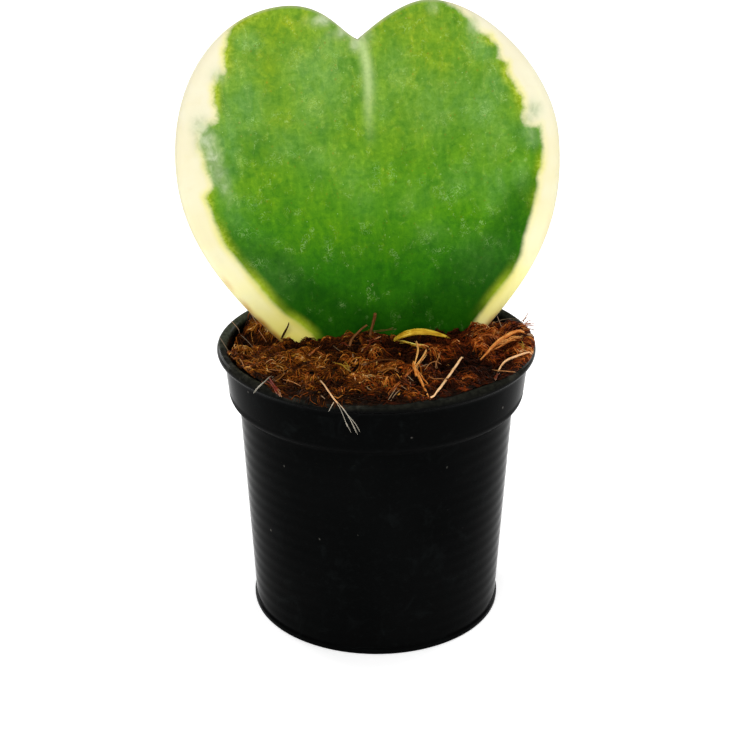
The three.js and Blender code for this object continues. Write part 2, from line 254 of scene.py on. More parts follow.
class Shader:
    """One material, whose nodes are added and linked by short calls."""

    def __init__(self, name):
        self.material = bpy.data.materials.new(name)
        self.material.use_nodes = True
        self.tree = self.material.node_tree
        self.tree.nodes.clear()
        self.surface = self.node("BsdfPrincipled")
        self.node("OutputMaterial", {"Surface": self.surface.outputs["BSDF"]})

    def put(self, socket, value):
        if isinstance(value, bpy.types.NodeSocket):
            self.tree.links.new(value, socket)
        else:
            socket.default_value = value

    def node(self, kind, sockets=(), **settings):
        """A new node with its settings, and with a value or a link for each of `sockets`."""
        made = self.tree.nodes.new("ShaderNode" + kind)
        for key, value in settings.items():
            setattr(made, key, value)
        for key, value in dict(sockets).items():
            self.put(made.inputs[key], value)
        return made

    def finished(self, **values):
        """The material, with these values or links on its surface, underscores for spaces."""
        for key, value in values.items():
            self.put(self.surface.inputs[key.replace("_", " ")], value)
        return self.material

    def attribute(self, name, output="Fac"):
        return self.node("Attribute", attribute_name=name).outputs[output]

    def object_place(self):
        return self.node("TexCoord").outputs["Object"]

    def parts(self, kind, value):
        """The three parts of a vector (kind XYZ) or a colour (kind Color)."""
        return self.node("Separate" + kind, {0: value}).outputs[:3]

    def stretched(self, vector, scale):
        return self.node("Mapping", {"Vector": vector, "Scale": scale}).outputs["Vector"]

    def noise(self, vector, scale, detail=2.0, roughness=0.5, distortion=0.0):
        sockets = {"Vector": vector, "Scale": scale, "Detail": detail}
        sockets |= {"Roughness": roughness, "Distortion": distortion}
        return self.node("TexNoise", sockets).outputs["Fac"]

    def cells(self, vector, scale, output="Distance"):
        return self.node("TexVoronoi", {"Vector": vector, "Scale": scale}).outputs[output]

    def maths(self, operation, first, second=0.0, third=0.0):
        return self.node("Math", enumerate((first, second, third)), operation=operation).outputs[0]

    def plus(self, first, second):
        return self.maths("ADD", first, second)

    def times(self, first, second):
        return self.maths("MULTIPLY", first, second)

    def scaled(self, value, factor, shift):
        return self.maths("MULTIPLY_ADD", value, factor, shift)

    def between(self, value, low, high, bottom=0.0, top=1.0):
        """`value` from low..high carried smoothly to bottom..top."""
        sockets = enumerate((value, low, high, bottom, top))
        return self.node("MapRange", sockets, interpolation_type="SMOOTHSTEP").outputs["Result"]

    def ramp(self, value, stops):
        node = self.node("ValToRGB", {"Fac": value})
        elements = node.color_ramp.elements
        elements.remove(elements[1])
        elements[0].position = stops[0][0]
        elements[0].color = rgb(stops[0][1])
        for position, colour in stops[1:]:
            elements.new(position).color = rgb(colour)
        return node.outputs["Color"]

    def mix(self, share, first, second, blend="MIX"):
        sockets = {0: share, 6: rgb(first), 7: rgb(second)}
        return self.node("Mix", sockets, data_type="RGBA", blend_type=blend).outputs[2]

    def layers(self, base, rows):
        """Each row's colour laid over the last by the row's share."""
        for share, colour in rows:
            base = self.mix(share, base, colour)
        return base

    def tints(self, base, rows):
        """A colour multiplied by each row's factors in turn, by the row's share."""
        for share, factors in rows:
            base = self.mix(share, base, self.mix(1.0, base, (*factors, 1.0), "MULTIPLY"))
        return base

    def bump(self, height, distance, strength=1.0):
        sockets = {"Height": height, "Distance": distance * MM, "Strength": strength}
        return self.node("Bump", sockets).outputs["Normal"]


# ---- materials ----


def pot_material():
    s = Shader("pot_plastic_black")
    place = s.object_place()
    x, y, z = s.parts("XYZ", place)
    broad = s.noise(place, 45, 3)
    smudge = s.noise(place, 150, 4, 0.65, 0.6)
    fine = s.noise(place, 900, 3)
    grain = s.noise(place, 4200)
    cell = s.plus(s.cells(place, 240), s.scaled(s.noise(place, 1500, 2, 0.6), 0.16, -0.08))
    chosen = s.parts("Color", s.cells(place, 240, "Color"))[0]
    speck = s.times(s.between(cell, 0.03, 0.09, 1, 0), s.maths("GREATER_THAN", chosen, 0.84))
    # The lip is painted lighter along its top: dust on it, and a painted highlight as well.
    lip = s.between(z, (POT_HEIGHT - 1.9) * MM, (POT_HEIGHT - 0.2) * MM)
    dust_and_lip_sheen = s.times(lip, s.between(fine, 0.35, 0.65, 0.45, 1))
    # the back left of the lip, where a grey-green painted highlight goes
    back_left_lip_highlight = s.times(s.between(x, -24 * MM, -33 * MM), s.between(y, -9 * MM, 3 * MM))
    base = s.layers((5, 5, 5), (
        (s.between(broad, 0.35, 0.7), (7, 7, 7)),
        (s.between(smudge, 0.54, 0.74, 0, 0.7), (14, 16, 16)),
        (s.between(fine, 0.52, 0.75, 0, 0.4), (11, 12, 12)),
        (s.times(speck, 0.6), (96, 94, 88)),
        # lip dust, also standing in for the lip's painted highlight
        (dust_and_lip_sheen, (31, 31, 26)),
        # paler scuffs on the lip, which also paint the highlight line along its top
        (s.times(lip, s.between(smudge, 0.5, 0.62, 0, 0.35)), (70, 68, 60)),
        # painted highlight: a grey-green sheen on the lip at the back left
        (s.times(back_left_lip_highlight, s.times(dust_and_lip_sheen, 0.9)), (64, 68, 56)),
    ))
    above = s.between(z, (BODY_TOP - 1.5) * MM, BODY_TOP * MM)
    below = s.between(z, COLLAR_BOTTOM * MM, (COLLAR_BOTTOM + 1.5) * MM, 1, 0)
    rough = s.plus(s.between(broad, 0.3, 0.7, 0.13, 0.18), s.between(smudge, 0.5, 0.75, 0, 0.08))
    return s.finished(
        Base_Color=base,
        Roughness=s.scaled(s.times(above, below), 0.3, rough),
        Normal=s.bump(s.plus(fine, s.times(grain, 0.4)), 0.012, 0.4),
        Specular_IOR_Level=0.008,
        Specular_Tint=(0.76, 1.0, 1.0, 1.0),
    )


def leaf_green(s, place, up, noises):
    """The flesh: darker and purer towards the soil, partly its own deeper green and partly painted shade,
    with haze, flecks and pale scratches.
    """
    broad, blotch, other, fleck, grain = noises
    streak = s.noise(s.stretched(place, (0.6, 0.16, 1)), 1.0, 3, 0.5)
    haze = s.times(s.attribute("haze"), s.between(other, 0.36, 0.6, 0.45, 0.95))
    olive = s.times(s.attribute("olive"), s.between(blotch, 0.38, 0.6, 0.4, 0.9))
    deep = s.times(s.attribute("deep"), s.between(other, 0.35, 0.6, 0.6, 1))
    cell = s.plus(s.cells(place, 0.95), s.scaled(grain, 0.34, -0.17))
    chosen = s.parts("Color", s.cells(place, 0.95, "Color"))
    ruddy = s.times(s.between(cell, 0.16, 0.3, 1, 0), s.maths("LESS_THAN", chosen[1], 0.1))
    # darker towards the soil: partly the flesh's own deeper green, partly painted shade
    green = s.ramp(s.between(up, 30, 112), (
        (0.0, (38, 104, 1)), (0.14, (48, 118, 2)), (0.3, (78, 140, 7)), (0.5, (94, 148, 18)),
        (0.7, (104, 150, 26)), (0.88, (112, 154, 32)), (1.0, (120, 158, 34)),
    ))
    green = s.tints(green, (
        (s.between(broad, 0.4, 0.6, 0.9, 0), (0.8, 0.9, 1.15)),
        (s.between(blotch, 0.36, 0.52, 1, 0), (0.72, 0.85, 0.85)),
        (s.between(other, 0.5, 0.62, 0, 0.9), (1.22, 1.03, 0.75)),
        (s.between(streak, 0.36, 0.5, 0.45, 0), (0.72, 0.84, 0.75)),
        (s.between(streak, 0.52, 0.68, 0, 0.8), (1.28, 1.14, 1.4)),
        (haze, (0.8, 0.94, 2.0)),
    ))
    green = s.mix(s.times(haze, 0.45), green, (134, 176, 96))
    green = s.tints(green, (
        (olive, (1.2, 1.0, 0.5)),
        (deep, (0.55, 0.76, 0.7)),
        # the darker foot below DARK_EDGE: partly deeper green, partly painted shade
        (s.times(s.attribute("dark"), 0.76), (0.4, 0.57, 0.26)),
        (s.between(fleck, 0.34, 0.5, 0.75, 0), (0.74, 0.84, 0.68)),
        (s.between(fleck, 0.52, 0.7, 0, 0.6), (1.45, 1.24, 1.5)),
        (s.between(grain, 0.4, 0.5, 0.35, 0), (0.75, 0.84, 0.7)),
        (s.times(ruddy, 0.7), (1.5, 0.78, 0.8)),
    ))

    def ridge(*values):
        return s.maths("ABSOLUTE", s.maths("SUBTRACT", s.noise(place, *values), 0.5))

    hairs = s.between(ridge(0.7, 2, 0.5, 1.6), 0.012, 0.04, 1, 0)
    hairs = s.times(hairs, s.between(other, 0.56, 0.66, 0, 0.4))
    speck = s.times(s.between(cell, 0.06, 0.16, 1, 0), s.maths("GREATER_THAN", chosen[0], 0.9))
    marks = s.maths("MAXIMUM", s.times(speck, 0.6), hairs)
    marks = s.times(marks, s.scaled(s.attribute("dark"), -0.6, 1.0))
    dense = s.times(s.between(ridge(0.8, 1, 0.5, 1.8), 0.015, 0.055, 0.7, 0), s.attribute("mark"))
    marks = s.maths("MAXIMUM", marks, s.times(dense, 0.85))
    green = s.mix(marks, green, s.mix(0.35, (184, 222, 140), green))
    crease = s.times(s.attribute("crease"), s.between(fleck, 0.3, 0.6, 0.8, 1))
    return s.mix(crease, green, (184, 206, 138))


def leaf_cream(s, across, up, broad, blotch):
    """The margins: yellower and brighter towards the soil, where the brightness is painted light against
    the shade there, and tan at their rim down there.
    """
    # brighter towards the soil: painted light that offsets the shade near the soil
    cream = s.ramp(s.between(up, 30, 100), (
        (0.0, (255, 246, 150)), (0.12, (255, 248, 180)), (0.22, (250, 242, 190)),
        (0.4, (238, 230, 186)), (1.0, (231, 224, 194)),
    ))
    foot = s.times(s.between(up, 32, 46, 1, 0), s.between(across, -18, -8, 1, 0))
    near_rim = s.between(s.attribute("rim"), 0.3, 2.0, 1, 0)
    return s.layers(cream, (
        (s.between(broad, 0.4, 0.65, 0, 0.35), (238, 237, 212)),
        (s.between(blotch, 0.5, 0.75, 0, 0.16), (226, 214, 160)),
        (s.times(foot, 0.7), (255, 238, 96)),
        (s.times(s.attribute("tan"), near_rim), (206, 140, 40)),
    ))


def leaf_material():
    s = Shader("leaf_flesh_variegated")
    place = s.attribute("place", "Vector")
    across, up, side = s.parts("XYZ", place)
    broad = s.noise(place, 0.09, 2, 0.5)
    blotch = s.noise(place, 0.2, 3, 0.55, 0.8)
    other = s.noise(s.stretched(place, (1, 0.7, 4)), 0.32, 3, 0.55, 0.8)
    fleck = s.noise(place, 0.9, 2, 0.6, 0.5)
    grain = s.noise(place, 2.6, 2, 0.5)
    green = leaf_green(s, place, up, (broad, blotch, other, fleck, grain))
    cream = leaf_cream(s, across, up, broad, blotch)

    # the border between them: teeth towards the top, a lime line and grey-green splashes
    calm = s.between(up, 58, 84, 0.3, 1)
    teeth = s.scaled(s.noise(place, 0.42, 2, 0.5), 1.5, -0.75)
    notches = s.scaled(s.noise(place, 1.3, 3, 0.6), 0.9, -0.45)
    border = s.scaled(s.plus(teeth, notches), calm, s.attribute("green"))
    lime = s.mix(s.between(fleck, 0.4, 0.6), (138, 160, 16), (172, 188, 54))
    lime = s.mix(s.between(up, 42, 62, 0.7, 0), lime, (186, 208, 44))
    green = s.mix(s.times(s.between(border, 0.2, 3.2, 1, 0), s.attribute("lime")), green, lime)
    edge = s.between(border, -0.8, 0.8)
    halo = s.times(s.between(border, -1.9, -0.2), s.maths("SUBTRACT", 1.0, edge))
    splash_tint = s.mix(s.between(other, 0.4, 0.6), (142, 164, 112), (184, 198, 158))
    colour = s.layers(s.mix(edge, cream, green), (
        (s.times(halo, s.scaled(s.attribute("lime"), 0.45, 0.2)), (228, 222, 96)),
        (s.times(s.attribute("splash"), s.between(fleck, 0.3, 0.6, 0.75, 1)), splash_tint),
        # the rounded rim, greyed as painted shade, and the paler back
        (s.between(s.attribute("rim"), 0.0, 0.7, 0.4, 0), (190, 184, 156)),
        (s.times(s.between(side, 0.4, 0.6), 0.35), (150, 182, 108)),
    ))
    return s.finished(
        Base_Color=colour,
        Roughness=s.between(fleck, 0.3, 0.7, 0.42, 0.56),
        Normal=s.bump(s.plus(s.times(grain, 0.5), s.times(fleck, 0.5)), 0.1, 0.45),
        Specular_IOR_Level=0.06,
        Subsurface_Weight=0.08,
        Subsurface_Radius=(0.9, 1.0, 0.4),
        Subsurface_Scale=1.0 * MM,
    )


def soil_material():
    s = Shader("coir_mix_crumb")
    place = s.object_place()
    clump = s.noise(place, 160, 4, 0.6)
    grit = s.noise(place, 900, 3, 0.6)
    # near black: partly the peat's own colour, partly painted shade for the gaps between the fibres
    colour = s.ramp(
        s.scaled(grit, 0.6, s.times(clump, 0.4)),
        ((0.3, (6, 3, 1)), (0.5, (18, 8, 3)), (0.62, (36, 17, 5)), (0.8, (66, 34, 10))),
    )
    normal = s.bump(s.plus(clump, s.times(grit, 0.5)), 0.5, 0.8)
    return s.finished(Base_Color=colour, Roughness=0.95, Normal=normal, Specular_IOR_Level=0.1)


# Coir from near black to straw, once golden and once rusty.
GOLDEN = (
    (0.0, (12, 6, 2)), (0.3, (46, 24, 4)), (0.55, (100, 58, 9)),
    (0.78, (152, 98, 22)), (0.93, (200, 148, 58)), (1.0, (226, 192, 122)),
)
RUSTY = (
    (0.0, (14, 4, 1)), (0.3, (54, 18, 3)), (0.55, (112, 42, 7)),
    (0.78, (162, 74, 18)), (0.93, (208, 124, 54)), (1.0, (232, 184, 130)),
)


def fibre_material():
    """Coir as light as its `tone` and as rusty as its `rust`."""
    s = Shader("coir_fibre")
    flecks = s.noise(s.object_place(), 700, 2)
    shade = s.plus(s.attribute("tone"), s.between(flecks, 0.3, 0.7, -0.1, 0.1))
    colour = s.mix(s.attribute("rust"), s.ramp(shade, GOLDEN), s.ramp(shade, RUSTY))
    return s.finished(Base_Color=colour, Roughness=0.72, Specular_IOR_Level=0.06)


def strand_material(name, streak, roughness, stops):
    """Plant fibre with streaks along it: `along` runs down the piece and `around` over it."""
    s = Shader(name)
    axes = [s.attribute(key) for key in ("along", "around", "tone")]
    place = s.node("CombineXYZ", enumerate(axes)).outputs[0]
    streaks = s.noise(s.stretched(place, (0.35, 4.0 * streak, 3.0)), 1.0, 4, 0.65)
    blotch = s.noise(s.stretched(place, (0.5, 0.6, 2.0)), 0.9, 2)
    value = s.plus(s.times(streaks, 0.75), s.times(blotch, 0.25))
    value = s.plus(value, s.scaled(axes[2], 0.7, -0.35))
    faded = s.mix(streaks, (130, 124, 110), (192, 184, 168))
    colour = s.mix(s.attribute("fade"), s.ramp(value, stops), faded)
    normal = s.bump(streaks, 0.12, 0.7)
    return s.finished(Base_Color=colour, Roughness=roughness, Normal=normal, Specular_IOR_Level=0.15)


def accent_material():
    """Dry fibre in the tint that each one carries, with streaks along it and paler tips."""
    s = Shader("coir_accent")
    streak = s.noise(s.object_place(), 1400, 3, 0.6)
    tint = s.attribute("tint", "Color")
    shaded = s.mix(1.0, tint, (150, 140, 125), "MULTIPLY")
    colour = s.mix(s.between(streak, 0.35, 0.7, 0.6, 0), tint, shaded)
    colour = s.mix(s.times(s.attribute("tip"), 0.35), colour, (216, 186, 150))
    normal = s.bump(streak, 0.05, 0.5)
    return s.finished(Base_Color=colour, Roughness=0.62, Normal=normal, Specular_IOR_Level=0.08)


# ---- pot ----

RING_PITCH = 3.2
RING_DEPTH = 0.045
BODY_POINTS = 132
POT_SEGMENTS = 256
DRAIN_SIDES = 32
PAD_SIDES = 48
DRAINS = circle(DRAIN_CIRCLE, DRAIN_HOLES, start=0.5)


def arc(x, y, radius, start, end, steps):
    angles = np.radians(np.linspace(start, end, steps + 1))
    return [(x + radius * math.cos(a), y + radius * math.sin(a)) for a in angles]


def outer_body():
    """The turned wall between the foot's bead and the collar, with its faint moulded rings."""
    foot = FOOT_RADIUS - FOOT_BEAD
    points = []
    for share in np.linspace(0.004, 0.994, BODY_POINTS):
        z = BEAD_TOP + share * (BODY_TOP - BEAD_TOP)
        wave = 0.5 - 0.5 * math.cos(2 * math.pi * z / RING_PITCH)
        points.append((foot + share * (BODY_TOP_RADIUS - foot) - RING_DEPTH * wave, z))
    return points


def collar():
    """The collar's slightly flared wall, and its bend out to the lip."""
    top = POT_HEIGHT - 3.6
    wall = [
        (
            COLLAR_BOTTOM_RADIUS + (COLLAR_TOP_RADIUS - COLLAR_BOTTOM_RADIUS) * share,
            COLLAR_BOTTOM + share * (top - COLLAR_BOTTOM),
        )
        for share in np.linspace(0.08, 0.95, 8)
    ]
    start = np.array([COLLAR_TOP_RADIUS, top])
    middle = np.array([COLLAR_TOP_RADIUS + 0.2, POT_HEIGHT - 2.3])
    lip = arc(LIP_REACH - LIP_RADIUS, POT_HEIGHT - LIP_RADIUS, LIP_RADIUS, -45, 180, 16)
    share = np.linspace(0, 1, 7)[:-1, None]
    bend = (1 - share) ** 2 * start + 2 * share * (1 - share) * middle + share**2 * np.array(lip[0])
    return [*wall, *map(tuple, bend), *lip]


def pot_outline():
    """Radius and height from the underside's recess out, up, over the lip and down inside."""
    foot_inner = FOOT_RADIUS - CORNER - FOOT_RING
    step = COLLAR_BOTTOM_RADIUS - BODY_TOP_RADIUS
    inner_foot = FOOT_RADIUS - WALL
    return [
        (foot_inner - RECESS, RECESS),
        (foot_inner - 0.15, 0.12),
        (foot_inner + 0.1, 0.0),
        *arc(FOOT_RADIUS - CORNER, CORNER, CORNER, -90, 0, 6),
        *arc(FOOT_RADIUS - FOOT_BEAD, BEAD_TOP - FOOT_BEAD, FOOT_BEAD, 0, 80, 5),
        *outer_body(),
        (BODY_TOP_RADIUS, BODY_TOP - 0.1),
        (BODY_TOP_RADIUS + 0.05, BODY_TOP + 0.3),
        *arc(COLLAR_BOTTOM_RADIUS - step, COLLAR_BOTTOM, step, -50, 0, 8),
        *collar(),
        (COLLAR_BOTTOM_RADIUS - WALL, COLLAR_BOTTOM + WALL / 2),
        (BODY_TOP_RADIUS - WALL, BODY_TOP + WALL),
        (inner_foot, FLOOR + 1),
        (inner_foot - 0.3, FLOOR + 0.3),
        (inner_foot - 1, FLOOR),
    ]


def wobble(angle, height):
    """A moulded pot is never quite round."""
    return 0.12 * np.sin(2 * angle + 0.7) * (height / POT_HEIGHT) ** 2


def holed_plate(radius, z):
    """A round plate at height z with the drain holes left open: vertices and triangles."""
    points, edges = [], []
    holes = [circle(DRAIN_RADIUS, DRAIN_SIDES, place) for place in DRAINS]
    for ring in (circle(radius, POT_SEGMENTS // 3), *holes):
        start, count = len(points), len(ring)
        points.extend(Vector(point) for point in ring)
        edges.extend((start + i, start + (i + 1) % count) for i in range(count))
    made = geometry.delaunay_2d_cdt(points, edges, [], 1, 1e-5)
    flat = np.array(made[0])
    kept = []
    for face in made[2]:
        middle = flat[list(face)].mean(axis=0)
        if np.hypot(*(DRAINS - middle).T).min() > DRAIN_RADIUS * 0.98:
            kept.append(tuple(face))
    return np.c_[flat, np.full(len(flat), z)], kept


def stacked(rings, count):
    """Round rings of (radius, height) and the faces between them, which look towards the rings'
    axis where the rings climb, and down where they narrow."""
    levels = [np.c_[circle(radius, count), np.full(count, height)] for radius, height in rings]
    return np.concatenate(levels), turned(ring_faces(len(rings), count).tolist())


def make_pot():
    outline = np.array(pot_outline())
    angles = 2 * np.pi * np.arange(POT_SEGMENTS) / POT_SEGMENTS
    radius = outline[:, :1] + wobble(angles, outline[:, 1:])
    height = np.broadcast_to(outline[:, 1:], radius.shape)
    wall = np.stack([radius * np.cos(angles), radius * np.sin(angles), height], axis=-1)
    under, under_faces = holed_plate(FOOT_RADIUS - CORNER - FOOT_RING - RECESS, RECESS)
    under[np.hypot(under[:, 0], under[:, 1]) < PAD_RADIUS, 2] = 0
    parts = [
        (wall.reshape(-1, 3), ring_faces(len(outline), POT_SEGMENTS).tolist()),
        (under, turned(under_faces)),
        holed_plate(FOOT_RADIUS - WALL - 1, FLOOR),
    ]
    for place in DRAINS:
        hole, faces = stacked(((DRAIN_RADIUS, RECESS), (DRAIN_RADIUS, FLOOR)), DRAIN_SIDES)
        parts.append((hole + (*place, 0), faces))
    # the pad that the middle of the pot stands on
    rings = ((PAD_RADIUS + RECESS, RECESS), (PAD_RADIUS + 0.2, 0.15), (PAD_RADIUS, 0.0), (0.4, 0.0))
    pad, faces = stacked(rings, PAD_SIDES)
    parts.append((pad, faces + turned([range(3 * PAD_SIDES, 4 * PAD_SIDES)])))
    vertices, faces = joined(parts)
    add_mesh("pot_shell", vertices, faces, pot_material(), ["pot"])


# ---- leaf ----

OUTLINE_STEPS = 70
BLADE_RINGS = 60
BLADE_LOOPS = 2 * BLADE_RINGS - 1

# Where green gives way to cream, across and up from the leaf's point.
LEFT_BORDER = (
    (-9, 12), (-18.5, 32.5), (-19, 34), (-21.5, 37), (-25, 40.2), (-27.8, 43.8), (-30, 47.4),
    (-32, 50.5), (-33.8, 53.6), (-35.3, 56), (-37.2, 59.2), (-38.6, 64.5), (-39.3, 68), (-40.1, 71),
    (-38.4, 72.6), (-37.6, 73.6), (-38.1, 75), (-38.7, 77.5), (-39.2, 81), (-39.4, 83.5), (-38.6, 86),
    (-36.6, 87.6), (-34.6, 88.4), (-34.5, 90.3), (-35, 93), (-34.3, 96.4), (-33, 98.4), (-31.2, 99.2),
    (-31.2, 103), (-30.2, 105.8), (-29.2, 108.2), (-26.6, 110.6), (-23, 112.4), (-19, 113.4),
    (-16, 116),
)
RIGHT_BORDER = (
    (9, 12), (19.4, 31.2), (21.0, 33.0), (22.8, 35.0), (24.8, 37.2), (27.6, 39.9), (30.8, 43.4),
    (33.2, 47.6), (34.4, 52.2), (36.1, 56.2), (37.4, 59.8), (38.8, 64), (38.8, 66.2), (39.8, 68),
    (40.4, 70), (40.7, 74.2), (40.4, 78.2), (38.4, 78), (36.8, 78.8), (36.3, 81), (37, 82.8),
    (36.8, 85.5), (35.3, 88.4), (34, 90.8), (33.9, 93.4), (32, 95), (32.1, 97.6), (30.5, 100),
    (28, 101.4), (26.4, 103.9), (24.4, 106.5), (22, 108.3), (19, 112),
)
# The edge of the darker foot of the leaf, partly deeper green flesh and partly painted shade.
DARK_EDGE = (
    (-47, 70), (-36, 64.5), (-32, 60.8), (-26, 57.4), (-20.2, 53), (-18.4, 49.5), (-13.7, 46),
    (-7.2, 42.3), (-3.3, 39.8), (1, 38.8), (6.2, 41), (11.5, 44), (14, 48), (20, 51), (26, 55.8),
    (29.5, 61.9), (33, 66), (46, 72),
)
# Soft patches on the blade: across, up, half width, half height and strength. A mark is a cluster
# of pale scratches, and the others are tints.
PATCHES = {
    "haze": (
        (-28, 92, 5, 9, 0.8), (-25.5, 105.5, 3.2, 2.6, 0.8), (-10.5, 96, 6.5, 6.5, 0.85),
        (-7, 101.5, 4, 3.5, 0.8), (-13, 88, 4.5, 6, 0.6), (-8, 91, 4, 5, 0.5), (-19, 82, 5, 4, 0.55),
        (-32.4, 84, 2.6, 8, 1.0), (-12, 77, 5, 4, 0.5), (-33.5, 66, 3.2, 6, 0.6),
        (-30.5, 57, 5, 4, 0.35), (-26, 50, 5, 5, 0.6), (-3, 66, 4, 4, 0.35), (-5, 72, 4, 5, 0.45),
        (28.5, 98, 3.5, 4, 0.9), (27.5, 84, 5.5, 5.5, 0.9), (38.2, 76.5, 2.8, 3, 1.0),
        (30, 88, 3.5, 5, 0.7), (8, 94, 4, 6, 0.5), (4, 89, 3, 6, 0.4), (23, 88, 4, 6, 0.5),
        (31, 78, 4, 6, 0.6), (28.5, 66, 4, 6, 0.7), (28, 75, 4, 5, 0.6), (34.5, 66.5, 2.4, 4, 1.0),
        (15, 86, 6, 7, 0.6), (8.5, 64.5, 5, 4, 0.35), (21, 68, 5, 4, 0.45), (12, 56.5, 4, 3.5, 0.35),
        (24, 49, 6, 5, 0.5),
    ),
    "olive": (
        (-19.5, 107, 5, 3, 0.8), (-21.5, 97, 2.6, 8, 0.8), (-20, 86, 3, 4, 0.5),
        (-26, 80.5, 2.6, 5, 0.7), (9.5, 104.5, 5, 2.5, 0.7), (16.5, 107.5, 4, 2, 0.6),
        (17, 94, 3, 6, 0.5), (12, 84.5, 5, 5, 0.4), (8, 78, 5, 4, 0.4), (28.5, 73, 4, 4, 0.5),
        (34.8, 60.5, 1.6, 3.4, 0.9), (1, 54, 6, 4, 0.6), (6, 50, 5, 3, 0.6), (13.5, 51.5, 3, 2.5, 0.5),
        (-20.5, 57.5, 5, 3.5, 0.6), (-10, 57, 5, 3.5, 0.5), (-23.5, 69, 4, 6, 0.5),
        (-6, 51.5, 5, 3.5, 0.5), (-15, 64.5, 5, 4, 0.4), (-30, 74, 3, 6, 0.5),
    ),
    "deep": (
        (24, 91, 2, 6, 0.6), (35, 78, 2, 3, 0.9), (22.5, 105, 2.5, 3, 0.5), (38.8, 73, 1.6, 3, 0.8),
        (-32.6, 79, 1.6, 6, 0.9), (33, 59.5, 1.9, 6, 0.8), (31, 53, 2.4, 5, 0.6), (-30, 70, 3, 5, 0.5),
        (-21, 99, 1.6, 5, 0.4), (-26, 97, 1.8, 6, 0.4), (-27, 80, 5, 6, 0.8), (37.6, 61.5, 1.2, 5, 0.5),
        (-28, 64, 5, 6, 0.9), (-31, 61, 5, 5, 1.0), (-20, 72, 6, 6, 0.4), (24, 78, 4, 8, 0.35),
        (30, 68, 3, 6, 0.4), (28, 82, 6, 8, 0.3),
    ),
    "mark": (
        (-23, 104.6, 1.2, 0.8, 1.0), (-26.1, 104.6, 0.9, 0.7, 0.8), (-13.7, 91.4, 0.8, 0.8, 1.0),
        (-4.5, 90.3, 1.4, 0.7, 0.9), (-26.7, 87.4, 2.2, 0.7, 0.9), (-20.8, 88.1, 1.6, 0.6, 0.8),
        (-18.4, 79.1, 2.0, 0.6, 0.9), (-23.5, 77.5, 1.5, 0.7, 0.8), (-5.5, 100.3, 0.8, 1.0, 0.7),
        (-7, 84.5, 0.7, 1.5, 0.8), (-29.7, 78.2, 0.9, 1.1, 0.8), (11.4, 104.4, 1.3, 0.9, 1.0),
        (22.8, 84.1, 0.9, 0.9, 1.0), (3.5, 84.9, 0.9, 0.9, 0.7), (22.3, 71.8, 1.2, 1.0, 0.7),
        (27.8, 99.7, 1.2, 1.0, 0.7), (18.3, 107.7, 0.9, 1.0, 0.8), (27.4, 82.3, 2.4, 1.8, 0.7),
        (-24.5, 58.4, 0.9, 0.7, 0.9), (-12.6, 55.3, 0.8, 2.2, 1.0), (-29.7, 53.8, 2.4, 1.2, 0.8),
        (-22.5, 49, 1.0, 1.0, 0.7), (-29.3, 68.4, 1.3, 1.5, 0.7), (-31.4, 61.5, 2.5, 1.2, 0.7),
        (-11, 41.3, 0.7, 0.7, 0.8), (0.7, 72.4, 1.0, 1.8, 0.8), (17, 64.1, 1.6, 1.3, 1.0),
        (19.4, 65.6, 1.4, 1.5, 1.0), (14.2, 51.6, 2.4, 0.6, 1.0), (25.8, 52.1, 1.1, 1.0, 0.8),
        (4.1, 71.3, 0.9, 2.2, 0.9), (10.8, 68.6, 1.0, 1.0, 0.7), (26.5, 60, 1.0, 1.5, 0.6),
    ),
    "splash": (
        (-38.5, 87.2, 2.3, 2.4, 0.75), (-37.8, 84, 2.3, 3.4, 1.0), (-37, 80, 2.0, 3.4, 1.0),
        (-36.1, 76.4, 1.7, 3.0, 0.95), (-35.0, 73, 1.5, 3.0, 0.6), (39.4, 82, 1.6, 2.0, 0.7),
        (37.7, 80, 1.4, 1.6, 0.6), (38.4, 76.4, 1.6, 2.2, 0.35), (26.8, 103, 1.3, 2.0, 0.7),
        (-33.2, 98.6, 1.6, 1.6, 0.6), (-7.4, 108.2, 2.9, 1.3, 0.9), (-3.6, 104.8, 2.4, 1.4, 0.85),
        (-0.9, 102.0, 1.2, 1.6, 0.7), (1.8, 103.4, 1.6, 1.6, 0.5), (17.9, 108.2, 1.2, 1.4, 0.5),
    ),
    "lime": (
        (-24, 109.5, 6, 2.6, 1.0), (-17, 110.8, 5, 1.8, 0.8), (-30.5, 103, 2.4, 4.5, 1.0),
        (-34, 94.5, 1.8, 4, 1.0), (-39.8, 70.5, 2.2, 4, 1.0), (-39, 79.5, 1.2, 4.5, 0.8),
        (-37, 60, 5, 6, 0.85), (-30, 47, 6, 8, 0.9), (-22, 37, 6, 5, 1.0), (30.5, 99.2, 3, 1.6, 0.9),
        (33.5, 91.5, 2.0, 3.2, 1.0), (35.8, 86, 2.2, 4.2, 1.0), (39.8, 68.8, 1.8, 2.8, 0.9),
        (38, 61, 2.5, 3, 0.4), (27, 40.5, 6, 5, 0.7), (-1.9, 101.5, 1.8, 2.4, 0.9),
    ),
    "tan": (
        (-36.9, 50.3, 1.4, 2.6, 0.7), (-33.6, 42.8, 1.6, 3.4, 0.7), (-30.5, 38.6, 3.0, 2.4, 1.0),
        (-26.5, 35.3, 4.0, 2.4, 1.0), (24, 32, 4, 2.0, 0.45), (39.5, 53, 2, 6, 0.18),
    ),
}


def bezier(start, leave, arrive, end):
    t = np.linspace(0, 1, OUTLINE_STEPS + 1)[:-1, None]
    return (1 - t) ** 3 * start + 3 * (1 - t) ** 2 * t * leave + 3 * (1 - t) * t * t * arrive + t**3 * end


